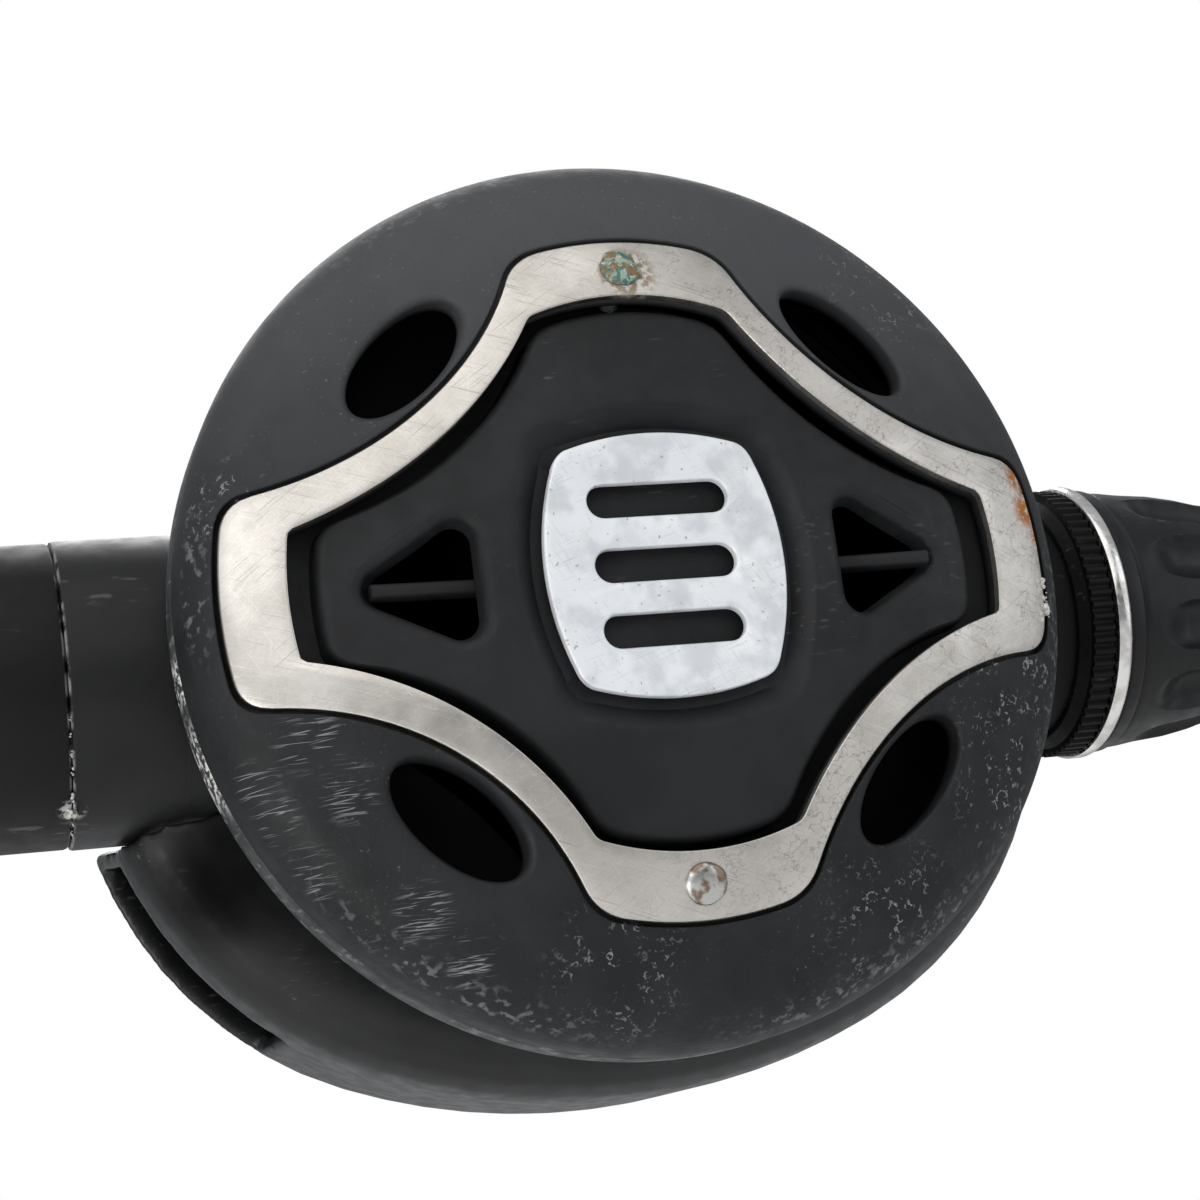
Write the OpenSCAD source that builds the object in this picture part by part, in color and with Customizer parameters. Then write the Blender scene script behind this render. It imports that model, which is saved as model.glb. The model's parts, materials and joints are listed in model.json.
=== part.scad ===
// Second stage of a scuba regulator: a round case with a domed front cover, a valve barrel that
// crosses the case from the hose inlet to the adjusting knob, an exhaust tee and a mouthpiece.
// Upright in use: +Z up, the front cover faces -Y, the mouthpiece +Y, the hose inlet -X and the
// knob +X. The origin is midway between the two bite tabs.

/* [Case] */
// Distance of the seam between cover and case in front of the bite tabs
seam_front = 76; // [74:1:80]
// Height of the case's axis above the bite tabs
case_rise = -3; // [-4:0.5:-2]
// Outer radius of the case's straight wall
case_r = 34.2; // [34:0.1:34.4]
// Thickness of the case's wall
case_wall = 2.2; // [1.8:0.1:2.6]
// Depth of the case behind the seam
case_depth = 36; // [35.5:0.5:37]
// Radius of the rounded edge at the back of the case
case_round = 11; // [10:0.5:12]
// Outer radius of the inlet tube
tube_r = 12.8; // [12.6:0.05:13]
// Distance of the inlet tube's end from the case's axis
tube_end = 44.8; // [44:0.1:46]

/* [Front cover] */
// Outer radius of the cover and of the case's rim
cover_r = 37; // [36.9:0.1:37.5]
// Radius of the shoulder between the cover's edge and its face
shoulder_r = 6.5; // [6:0.5:7.5]
// Height of the straight edge below the shoulder
edge_h = 0.9; // [0.8:0.1:1.2]
// Radius of the cover's gently domed face
crown_r = 82; // [80:0.5:84]
// Thickness of the cover
cover_t = 2.4; // [2.2:0.1:2.6]
// Distance of the water holes from the cover's axis
hole_out = 25.8; // [25.4:0.1:26]
// Length and width of a water hole
hole_size = [12.3, 5.9]; // [5:0.1:12.5]

/* [Trim plate] */
// Thickness of the trim plate
trim_t = 0.9; // [0.7:0.1:1]
// Distance of the two screws from the cover's axis
screw_out = 24.9; // [24.6:0.1:25.2]
// Radius of a screw's domed head
screw_head_r = 1.65; // [1.4:0.05:1.9]

/* [Purge button] */
// Depth of the button's face below the cover's face
button_set = 1.5; // [1.2:0.1:1.8]
// Thickness of the button's face
button_t = 1.8; // [1.6:0.1:2]
// Travel of the button from rest to its stop
press = 2.6; // [2:0.1:2.6]
// Thickness of the emblem plate
emblem_t = 0.8; // [0.6:0.1:1]

/* [Valve barrel] */
// Depth of the barrel's axis behind the seam
barrel_deep = 17; // [16.8:0.1:17.2]
// Drop of the barrel's axis below the case's axis
barrel_drop = 0.9; // [0.7:0.1:1]
// Outer radius of the barrel
barrel_r = 8.6; // [8.6:0.02:8.62]
// Radius of the barrel's bore
bore_r = 6.5; // [6.49:0.01:6.52]
// Major radius of the 9/16 inch inlet thread
inlet_r = 7.14; // [7.1:0.01:7.2]
// Length of the inlet thread
inlet_len = 10; // [9:0.5:11]

/* [Knob and flow lever] */
// Radius of the bright ring at the root of the knob
ring_r = 12.65; // [12.5:0.05:12.8]
// Distance of the bright ring from the case's axis
ring_x = 46.25; // [46.25:0.05:46.4]
// Width of the bright ring
ring_w = 1.45; // [1:0.05:1.5]
// Length of the rubber grip
grip_len = 21.2; // [20.5:0.1:22]
// Dimples around the grip
dimples = 11; // [8:1:12]
// Ribs around the flow lever's ring
ribs = 72; // [48:4:80]

/* [Exhaust tee] */
// Radius of the tee's floor
floor_r = 57.2; // [56:0.1:58]
// Height of the floor's centre above the case's axis
floor_up = 18; // [17.9:0.1:18.1]
// Half of the angle that the floor covers
floor_half = 22.7; // [22:0.1:23]
// Radius of the rounded wings at each end of the floor
wing_r = 34.1; // [33.6:0.1:34.4]
// Angle from straight down to the end of a wing
wing_end = 75; // [72:1:76]
// Thickness of the tee's wall
tee_t = 1.8; // [1.6:0.1:2]

/* [Mouthpiece] */
// Width and height of the airway in the mouthpiece
airway = [22, 12]; // [10:0.5:23]
// Width and height of the lip flange
lip_size = [60, 31]; // [30:1:62]
// Thickness of the lip flange
lip_t = 2.2; // [2:0.1:2.6]

/* [Inlet sleeve] */
// Length of the rubber sleeve around the hose nut
sleeve_len = 28; // [27:0.5:29]
// Thickness of the sleeve
sleeve_t = 1.5; // [1.3:0.1:1.5]

/* [Hidden] */
$fn = 96;

// Cover face: the shoulder's centre, the crown's centre and the angle where they meet
shoulder_x = cover_r - shoulder_r;
crown_z = edge_h - sqrt(pow(crown_r - shoulder_r, 2) - pow(shoulder_x, 2));
crown_a = asin(shoulder_x / (crown_r - shoulder_r));
// Four-lobed outlines: radius of the top lobe, of the side lobe, centre and radius of the hollow
// flank between them, and length of the rounded corner
trim_outer = [27.6, 34.1, [34.05, 35.05], 26.9, 2.3];
trim_inner = [22.4, 29.1, [36.7, 36.7], 32.6, 0.5];
button_edge = [21.6, 26.8, [30.9, 30.4], 25.35, 1.7];
trim_low = 0.1;
trim_gap = 0.35;
// The well under the button
well_gap = 1.4;
well_t = 1.5;
floor_low = 0.7;
flange_low = 4.4;
floor_top = flange_low - press - 0.2;
flange_t = 1;
flange_out = 0.9;
skirt_t = 1.4;
post_r = 3.4;
bush_r = 3.8;
screw_post_r = 1.45;
spring_gap = 0.04;
post_low = -1.4;
spring_top = 9.6;
emblem_low = 10.6;
emblem_out = [9.7, 10.6];
emblem_arc = 22.2;
emblem_slots = [-5.2, 0, 5.2];
window_x = 16.3;
// Rim, ledge and clamped edge of the diaphragm
rim_low = -3.8;
collar_low = -6.6;
rim_top = -0.25;
rim_in = 34.5;
ledge = -4.7;
ledge_in = 31;
// Barrel: stations along its axis
barrel_y = -seam_front + barrel_deep;
barrel_z = case_rise - barrel_drop;
barrel_left = -53.5;
barrel_right = 42;
bore_left = -44;
spigot_end = -47.8;
spigot_r = 11.2;
seat_x = -30;
shoulder_at = -13.9;
pad_x = 5.1;
run = 0.08;
// Lever: pivot, and the height of its tip
pivot = [-15, 2.7];
foot_r = 1.3;
tip_r = 0.8;
tip = [3, -13.08];
// Flow lever and boss on the knob side
vane_r = barrel_r + run;
boss_in = 9.68;
boss_r = 11.3;
boss_end = 41;
// Exhaust port
port_w = -22.5;
port_r = 7.8;
seat_y = -34.6;
// Mouthpiece: height of its axis above the case's axis, and the case's own port
mouth_up = -case_rise;
mouth_port = [30, 22];
mouth_len = 14;
// Exhaust tee: its back, front, the lip of an outlet and the rounding of its outer edges
tee_back = -35;
tee_front = -11.5;
tee_lip = -19.5;
tee_heel = 2.4;
tee_toe = 6;
tee_gap = 0.2;
tee_clear = 0.4;
wing_at = (floor_r - wing_r) * [sin(floor_half), -cos(floor_half)] + [0, floor_up];
// Stops along a wing as shares of its length, the stops that an outlet spans, and the first and last
// point of a section that it leaves out
wing_stops = [0.13, 0.26, 0.38, 0.5, 0.62, 0.74, 0.86, 0.95, 1];
outlet_span = [0.26, 0.95];
heel_at = 5;
lip_at = 6;

// ---- Frames ----

// Draws its children in the cover's frame: x right, y up, z out of the cover, from the seam
module in_case() {
    translate([0, -seam_front, case_rise]) rotate([90, 0, 0]) children();
}

// Draws its children with z along the barrel's axis, towards the knob
module on_barrel() {
    translate([0, barrel_y, barrel_z]) rotate([0, 90, 0]) children();
}

// The same axis in the cover's frame
module across() {
    translate([0, -barrel_drop, -barrel_deep]) rotate([0, 90, 0]) children();
}

// ---- Outlines ----

// Points of an arc about c, from angle a to angle b, with both ends
function arc(c, r, a, b, n) = [for (i = [0:n]) c + r * [cos(a + (b - a) * i / n), sin(a + (b - a) * i / n)]];

// A list without its first point
function tail(p) = [for (i = [1:len(p) - 1]) p[i]];

// A rounded corner from a to b, drawn towards the corner c
function bend(a, c, b, n) = [for (i = [0:n]) let (t = i / n) (1 - t) * (1 - t) * a + 2 * t * (1 - t) * c + t * t * b];

// Angle at which a circle of radius r about the axis meets the circle of radius f about c
function meet(r, c, f, side) = atan2(c[1], c[0])
    + side * acos((r * r + c * c - f * f) / (2 * r * norm(c)));

// Angle of point p seen from c
function angle_from(c, p) = atan2(p[1] - c[1], p[0] - c[0]);

// Quarter of a four-lobed outline, grown by o
function quarter(s, o) =
    let (top = s[0] + o, side = s[1] + o, c = s[2], f = s[3] - o, k = s[4] * 180 / PI,
        a = meet(top, c, f, 1), b = meet(side, c, f, -1),
        p = top * [cos(a), sin(a)], q = side * [cos(b), sin(b)],
        pc = angle_from(c, p) + k / f, qc = angle_from(c, q) - k / f,
        at_top = arc([0, 0], top, 90, a + k / top, 5), flank = arc(c, f, pc, qc, 12),
        at_side = arc([0, 0], side, b - k / side, 0, 4))
    concat(at_top, tail(bend(at_top[5], p, flank[0], 5)), tail(flank),
        tail(bend(flank[12], q, at_side[0], 5)), tail(at_side));

// Closes a quarter outline by mirroring it
function close_quarter(q) = let (n = len(q)) concat(q, [for (i = [n - 2:-1:0]) [q[i][0], -q[i][1]]],
    [for (i = [1:n - 1]) -q[i]], [for (i = [n - 2:-1:1]) [-q[i][0], q[i][1]]]);

// A four-lobed outline, grown by o
function lobed(s, o) = close_quarter(quarter(s, o));

// The bowed, nearly square outline of the emblem plate, grown by o
function emblem_edge(o) =
    let (w = emblem_out[0] + o, h = emblem_out[1] + o, r = emblem_arc + o,
        up = arc([0, h - r], r, 90, 71.5, 4), out = arc([w - r, 0], r, 21.5, 0, 4))
    close_quarter(concat(up, tail(bend(up[4], [w - 1.55, h - 1.15], out[0], 5)), tail(out)));

// An oval of two half axes
function oval(a, b, n) = [for (i = [0:n - 1]) [a * cos(360 * i / n), b * sin(360 * i / n)]];

// A triangle with rounded corners that points along +x, with its flat side at x = 0
function pointer(len, half, r) = let (a = atan2(len, half))
    concat(arc([len, 0], r, -a, a, 5), arc([0, half], r, a, 180, 5), arc([0, -half], r, 180, 360 - a, 5));

// A shape with two straight sides and two round ends, w wide and h high
module stadium(w, h) {
    square([w - h, h], center = true);
    for (s = [-1, 1]) translate([s * (w - h) / 2, 0]) circle(d = h);
}

// Solid of revolution under the cover's face, set in by t and standing on low
module dome(t, low) {
    shoulder = arc([shoulder_x, edge_h], shoulder_r - t, 0, 90 - crown_a, 12);
    crown = arc([0, crown_z], crown_r - t, 90 - crown_a, 90, 12);
    rotate_extrude() polygon(concat([[0, low], [cover_r - t, low]], shoulder, tail(crown)));
}

// Prism on a four-lobed outline
module lobed_prism(s, o, low, high) {
    translate([0, 0, low]) linear_extrude(high - low) polygon(lobed(s, o));
}

// Outer shape of the case, grown by g
module case_shape(g) {
    rotate_extrude() polygon(concat([[0, rim_low], [case_r + g, rim_low]],
        arc([case_r - case_round, -case_depth + case_round], case_round + g, 0, -90, 12),
        [[0, -case_depth - g]]));
}

// Ring of round section about the z axis
module ring(major, minor) {
    rotate_extrude() translate([major, 0]) circle(r = minor, $fn = 24);
}

// Tube from z = a to z = b
module tube(outer, inner, a, b) {
    translate([0, 0, a]) difference() {
        cylinder(r = outer, h = b - a);
        translate([0, 0, -1]) cylinder(r = inner, h = b - a + 2);
    }
}

// Round bar from z = a to z = b
module bar(r, a, b) {
    translate([0, 0, a]) cylinder(r = r, h = b - a);
}

// Coil spring about the z axis from z = 0 to z = len, with closed ends
module coil(major, wire, turns, len) {
    sides = 8;
    steps = round(turns * 14);
    rise = len - wire;
    function at(i) = let (t = i / steps, a = 360 * turns * t)
        [major * cos(a), major * sin(a), wire / 2 + rise * (t - sin(360 * t) / 9)];
    points = [for (i = [0:steps], k = [0:sides - 1]) let (a = 360 * turns * i / steps, b = 360 * k / sides)
        at(i) + wire / 2 * [cos(a) * cos(b), sin(a) * cos(b), sin(b)]];
    walls = [for (i = [0:steps - 1], k = [0:sides - 1]) let (m = (k + 1) % sides)
        [i * sides + k, (i + 1) * sides + k, (i + 1) * sides + m, i * sides + m]];
    polyhedron(points, concat(walls, [[for (k = [0:sides - 1]) k]],
        [[for (k = [sides - 1:-1:0]) steps * sides + k]]), convexity = 10);
}

// ---- Case ----

module case_body() {
    color("#1c1d1f") in_case() {
        difference() {
            union() {
                case_shape(0);
                bar(cover_r, rim_low, rim_top);
                translate([0, 0, collar_low]) cylinder(r1 = case_r, r2 = cover_r - 0.6, h = rim_low - collar_low);
                across() bar(tube_r, -tube_end, -case_r + 12);
                across() bar(spigot_r, spigot_end, -case_r);
                across() bar(boss_r, case_r - 12, boss_end);
                translate([0, 0, port_w]) rotate([90, 0, 0]) bar(port_r + 2.4, 26, -seat_y);
                translate([0, mouth_up, -case_depth - mouth_len]) linear_extrude(mouth_len + 1.5)
                    stadium(mouth_port[0], mouth_port[1]);
            }
            rotate_extrude() polygon(concat([[0, ledge - 1.5], [case_r - case_wall, ledge - 1.5]],
                arc([case_r - case_round, -case_depth + case_round], case_round - case_wall, 0, -90, 12),
                [[0, -case_depth + case_wall]]));
            bar(rim_in, ledge, 1);
            bar(ledge_in, ledge - 2, 0);
            across() bar(9.4, -43, 0);
            across() bar(barrel_r + 0.1, spigot_end - 1, 0);
            across() bar(boss_in, 0, boss_end + 1);
            translate([0, 0, port_w]) rotate([90, 0, 0]) bar(port_r, 25, 40);
            translate([0, mouth_up, -case_depth - mouth_len - 1]) linear_extrude(mouth_len + 4)
                stadium(mouth_port[0] - 4, mouth_port[1] - 4);
        }
        exhaust_spider();
    }
}

// Hub and spokes that carry the exhaust valve's stem
module exhaust_spider() {
    translate([0, 0, port_w]) rotate([90, 0, 0]) difference() {
        union() {
            bar(2.7, -seat_y - 1.6, -seat_y);
            for (a = [30:120:270]) rotate([0, 0, a]) translate([0, -0.7, -seat_y - 1.6])
                cube([port_r + 0.6, 1.4, 1.6]);
        }
        bar(1.5, 0, 40);
    }
}

module front_cover() {
    color("#26282a") in_case() difference() {
        union() {
            difference() {
                dome(0, 0);
                dome(cover_t, -1);
            }
            tube(34.3, 32.4, -2.5, 3.6);
        }
        difference() {
            lobed_prism(trim_outer, trim_gap, -1, 16);
            dome(trim_low + trim_t, -2);
        }
        lobed_prism(trim_inner, 0, 4, 16);
        for (a = [45:90:315]) rotate([0, 0, a]) translate([hole_out, 0, -1])
            linear_extrude(16) polygon(oval(hole_size[1] / 2, hole_size[0] / 2, 40));
        for (s = [-1, 1]) translate([0, s * screw_out, 0]) bar(0.95, 4, 12);
    }
}

// The wall, floor, guide bush and screw posts under the button, moulded in one with the cover
module cover_well() {
    color("#26282a") in_case() difference() {
        intersection() {
            dome(cover_t + 0.02, 0);
            union() {
                difference() {
                    lobed_prism(trim_inner, well_gap + well_t, floor_low, 14);
                    lobed_prism(trim_inner, well_gap, floor_low - 1, 15);
                }
                lobed_prism(trim_inner, well_gap + 0.2, floor_low, floor_top);
                bar(bush_r + 1.1, floor_low, floor_top + 0.9);
                for (s = [-1, 1]) translate([0, s * screw_out, 0]) bar(screw_post_r, floor_low, 12);
            }
        }
        bar(bush_r, -1, 8);
        for (a = [20, 70, 110, 160, 200, 250, 290, 340]) rotate([0, 0, a]) translate([12.5, 0, 0])
            bar(3, -1, floor_top + 0.4);
        for (s = [-1, 1]) translate([0, s * screw_out, 0]) bar(0.95, 4, 12);
    }
}

module trim_plate() {
    color("#c9c6c1") in_case() intersection() {
        difference() {
            dome(trim_low, 0);
            dome(trim_low + trim_t, -1);
        }
        difference() {
            lobed_prism(trim_outer, 0, 0, 16);
            lobed_prism(trim_inner, 0, -1, 17);
            for (s = [-1, 1]) translate([0, s * screw_out, 0]) bar(1, 0, 17);
        }
    }
}

module trim_screws() {
    head_z = crown_z + sqrt(pow(crown_r, 2) - pow(screw_out, 2)) - 0.05;
    tilt = asin(screw_out / crown_r);
    color("#a9a49c") in_case() for (s = [-1, 1]) translate([0, s * screw_out, head_z]) {
        bar(0.9, -5, 0.3);
        rotate([-s * tilt, 0, 0]) intersection() {
            translate([0, 0, -1.9]) sphere(r = 2.55, $fn = 48);
            bar(screw_head_r, 0.02, 2);
        }
    }
}

// ---- Purge button and diaphragm ----

module purge_button() {
    color("#141516") in_case() difference() {
        union() {
            intersection() {
                difference() {
                    dome(button_set, 0);
                    dome(button_set + button_t, -1);
                }
                lobed_prism(button_edge, 0, 0, 16);
            }
            intersection() {
                dome(button_set + 0.4, 0);
                union() {
                    difference() {
                        lobed_prism(button_edge, 0, flange_low, 13);
                        lobed_prism(button_edge, -skirt_t, 0, 14);
                    }
                    for (s = [-1, 1]) window_wall(s);
                }
            }
            difference() {
                lobed_prism(trim_inner, flange_out, flange_low, flange_low + flange_t);
                lobed_prism(button_edge, -skirt_t, 0, 14);
            }
            bar(12.4, spring_top, emblem_low);
            bar(post_r, post_low, spring_top + 0.5);
        }
        translate([0, 0, emblem_low]) linear_extrude(4, scale = 1.28) polygon(emblem_edge(0.5));
        for (s = [-1, 1]) window_cut(s);
    }
    color("#141516") in_case() for (s = [-1, 1]) window_rib(s);
}

// Outline of a window in the button, grown by o
module window_edge(o) {
    polygon(pointer(4.6, 2.7, 1.1 + o));
}

// Sloping walls around a window, below the button's face
module window_wall(s) {
    translate([s * window_x, 0, 6.4]) mirror([s < 0 ? 1 : 0, 0, 0]) linear_extrude(6) window_edge(1.6);
}

// The window's opening, which widens upwards
module window_cut(s) {
    translate([s * window_x, 0, 5]) mirror([s < 0 ? 1 : 0, 0, 0]) linear_extrude(9, scale = 1.6) window_edge(-0.1);
}

// The rib across a window
module window_rib(s) {
    translate([s * (window_x + 2.2), -0.2, 7.6]) cube([8.4, 1.2, 2.2], center = true);
}

module emblem_plate() {
    color("#dfe2e4") in_case() difference() {
        translate([0, 0, emblem_low]) linear_extrude(emblem_t) polygon(emblem_edge(0));
        for (y = emblem_slots) translate([0, y, emblem_low - 1]) linear_extrude(3) stadium(11.5, 2.7);
    }
}

module purge_spring() {
    color("#b8bcc0") in_case() translate([0, 0, floor_top + spring_gap])
        coil(5.6, 0.9, 4.5, spring_top - floor_top - 2 * spring_gap);
}

// Rolled silicone membrane with a clamped bead at its edge
module diaphragm() {
    t = 0.7;
    color("#6f7376") in_case() rotate_extrude() polygon([[0, -2.2], [18.5, -2.2], [21, -3.1], [24, -3.7],
        [27, -3.3], [30.6, -4.5], [33.9, -4.6], [33.9, -3.2], [31.2, -3.2], [31, -4.5 + t],
        [27, -3.3 + t], [24, -3.7 + t], [21, -3.1 + t], [18.7, -2.2 + t], [0, -2.2 + t]]);
}

module diaphragm_disc() {
    color("#d8d6cf") in_case() difference() {
        bar(16, -3, -2.25);
        for (a = [0:60:300]) rotate([0, 0, a]) translate([11, 0, 0]) bar(1.6, -4, -1);
    }
}

module diaphragm_ring() {
    color("#2c2e30") in_case() tube(34.2, 31.2, -3.1, -2.6);
}

// ---- Valve ----

module valve_barrel() {
    color("#c4c7ca") on_barrel() difference() {
        union() {
            bar(barrel_r, barrel_left, barrel_right);
            bar(inlet_r, barrel_left - inlet_len, barrel_left);
        }
        bar(bore_r, bore_left, barrel_right + 1);
        bar(4.4, barrel_left - inlet_len - 1, bore_left + 1);
        translate([0, pivot[1], pivot[0]]) rotate([0, 90, 0]) translate([0, 0, -20])
            cylinder(r = foot_r + run, h = 40);
        translate([0, 0, -22]) rotate([-90, 0, 0]) cylinder(r = 3.6, h = 12);
    }
}

module barrel_nut() {
    color("#b9bcbf") on_barrel() difference() {
        intersection() {
            translate([0, 0, -53.3]) cylinder(r = 10.97, h = 5.5, $fn = 6);
            bar(10.7, -54, -47);
        }
        bar(barrel_r + 0.05, -54, -47);
    }
}

module barrel_o_rings() {
    color("#101010") on_barrel() for (x = [-41.5, -35]) translate([0, 0, x]) ring(9, 0.38);
}

module orifice() {
    color("#c9b27c") on_barrel() difference() {
        union() {
            bar(6.42, -43.9, -33);
            translate([0, 0, -33]) cylinder(r1 = 4.6, r2 = 2.8, h = 3);
        }
        bar(1.9, -45, -29);
        tube(8, 4.7, -39.9, -37.9);
    }
}

module orifice_o_ring() {
    color("#101010") on_barrel() translate([0, 0, -38.9]) ring(5.6, 0.84);
}

module poppet() {
    color("#8f9498") on_barrel() difference() {
        union() {
            bar(5.2, -29, -24.2);
            intersection() {
                bar(bore_r - run, -27.2, -24.8);
                translate([0, 0, -26]) cube([10.4, 10.4, 6], center = true);
            }
            bar(2.4, -24.5, 3);
            bar(2.42, 2.8, 7.5);
            bar(4.8, shoulder_at, -11);
        }
        bar(4, -30, -28.1);
        bar(0.9, -28.5, 8);
    }
}

module poppet_seat() {
    color("#c5372c") on_barrel() difference() {
        bar(3.95, seat_x + 0.05, -28.15);
        bar(0.9, seat_x - 1, -28);
    }
}

module poppet_spring() {
    color("#b8bcc0") on_barrel() translate([0, 0, -10.95]) coil(5.05, 0.9, 7, pad_x + 10.9);
}

module balance_chamber() {
    color("#b7a06a") on_barrel() difference() {
        bar(bore_r - run, pad_x, 12.9);
        bar(2.5, 4, 11);
        tube(9, 5.2, 8.6, 10.2);
    }
}

module balance_o_ring() {
    color("#101010") on_barrel() translate([0, 0, 9.4]) ring(5.8, 0.6);
}

module adjust_screw() {
    color("#9da2a6") on_barrel() difference() {
        bar(bore_r - run, 13, 21);
        bar(2.98, 15, 22);
        for (x = [14.2:1.4:20]) tube(9, 6.1, x, x + 0.6);
    }
}

module adjust_spindle() {
    color("#c0c3c6") on_barrel() difference() {
        union() {
            bar(2.9, 17.5, 56);
            bar(5.9, 33.9, 35.9);
        }
        bar(1.2, 50, 57);
    }
}

module spindle_o_ring() {
    color("#101010") on_barrel() translate([0, 0, 32.9]) ring(3.75, 0.78);
}

module barrel_cap() {
    color("#b9bcbf") on_barrel() difference() {
        union() {
            bar(bore_r - 0.05, 36, barrel_right);
            bar(barrel_r, barrel_right, barrel_right + 1.2);
        }
        bar(2.98, 35, 44);
    }
}

// Two legs that straddle the barrel, turning on feet in its wall, and an arm to the diaphragm
module demand_lever() {
    color("#cfd2d4") translate([0, barrel_y, barrel_z]) {
        for (s = [-1, 1]) mirror([0, 0, s < 0 ? 1 : 0]) {
            translate([pivot[0], pivot[1], 4.2]) cylinder(r = foot_r, h = 5.9);
            translate([pivot[0] - 0.9, -0.9, 3.4]) cube([1.8, 3.6, 2]);
            translate([0, 0, 8.9]) linear_extrude(1.2) polygon([[-17.3, 4.4], [-12.7, 4.4],
                [-11.5, -10], [-11.5, -11.2], [-16.5, -11.2]]);
        }
        translate([-16.5, -11.2, -10.1]) cube([5, 1.2, 20.2]);
        translate([0, 0, -4]) linear_extrude(8) polygon([[-14, -11.2], [-11, -11.2],
            [tip[0], tip[1] - 0.6], [tip[0], tip[1] + 0.6], [-11, -10], [-14, -10]]);
        translate([tip[0], tip[1], -4]) cylinder(r = tip_r, h = 8);
    }
}

// ---- Flow lever ----

module venturi_vane() {
    color("#2a2c2e") on_barrel() {
        tube(9.6, vane_r, 14, boss_end + 0.2);
        intersection() {
            difference() {
                bar(10.8, 8, 14.5);
                bar(9.75, 7, 13);
                bar(vane_r, 7, 16);
            }
            linear_extrude(20) polygon([[0, 0], [24, 20], [24, 34], [-24, 34], [-24, 20]]);
        }
    }
}

// Ribbed ring with a finger tab at the back
module venturi_ring() {
    a = 360 / ribs;
    color("#17181a") on_barrel() difference() {
        union() {
            bar(10.2, boss_end + 0.2, 44);
            translate([0, 0, 43.3]) cylinder(r1 = 10.8, r2 = 11.7, h = 0.9);
            translate([0, 0, 44.1]) linear_extrude(2) polygon([for (i = [0:ribs - 1], k = [0:3])
                (k < 2 ? 12.35 : 12) * [cos(a * (i + k / 4)), sin(a * (i + k / 4))]]);
            translate([-2.2, 8, 43.6]) cube([4.4, 12.4, 2.5]);
            translate([0, 20.4, 43.6]) cylinder(r = 2.2, h = 2.5);
        }
        bar(8.95, 40, 48);
    }
}

// ---- Knob ----

module knob_core() {
    color("#1b1c1e") on_barrel() difference() {
        union() {
            bar(10.9, ring_x - 0.05, ring_x + ring_w);
            bar(9, ring_x + ring_w - 0.05, 66.5);
        }
        bar(2.95, 46, 56.1);
        bar(1.55, 56, 67);
    }
}

module knob_ring() {
    edge = 0.3;
    color("#d9d9d6") on_barrel() rotate_extrude() polygon([[10.95, ring_x], [ring_r - edge, ring_x],
        [ring_r, ring_x + edge], [ring_r, ring_x + ring_w - edge], [ring_r - edge, ring_x + ring_w],
        [10.95, ring_x + ring_w]]);
}

module knob_grip() {
    low = ring_x + ring_w + 0.05;
    high = low + grip_len;
    color("#1d1e20") on_barrel() difference() {
        rotate_extrude() polygon(concat([[0, low], [11.9, low], [12.2, low + 0.4], [12.1, low + 2],
            [11.6, low + 4.4], [11.3, low + 8], [10.8, low + 10.6], [10, low + 13], [9.6, low + 16]],
            arc([7.2, high - 2.4], 2.4, 5, 90, 6), [[0, high]]));
        bar(9.05, low - 1, 66.6);
        bar(3.3, 60, high + 1);
        for (i = [0:dimples - 1]) rotate([0, 0, 360 * (i + 0.5) / dimples]) translate([13.7, 0, low + 10])
            rotate([0, -11, 0]) rotate_extrude() polygon(arc([-17, 0], 19.6, -26, 26, 12));
    }
}

module knob_screw() {
    color("#b5b8ba") on_barrel() difference() {
        union() {
            bar(2.9, 66.6, 68.2);
            bar(1.5, 57.5, 66.7);
        }
        for (a = [0, 90]) rotate([0, 0, a]) translate([0, 0, 68]) cube([3.4, 0.7, 1.2], center = true);
    }
}

// ---- Exhaust ----

module exhaust_valve() {
    color("#55585b") in_case() translate([0, 0, port_w]) rotate([90, 0, 0]) {
        bar(8.4, -seat_y + 0.1, -seat_y + 0.8);
        bar(1.4, -seat_y - 2.2, -seat_y + 0.2);
        translate([0, 0, -seat_y - 3.3]) sphere(r = 1.9, $fn = 32);
    }
}

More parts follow.
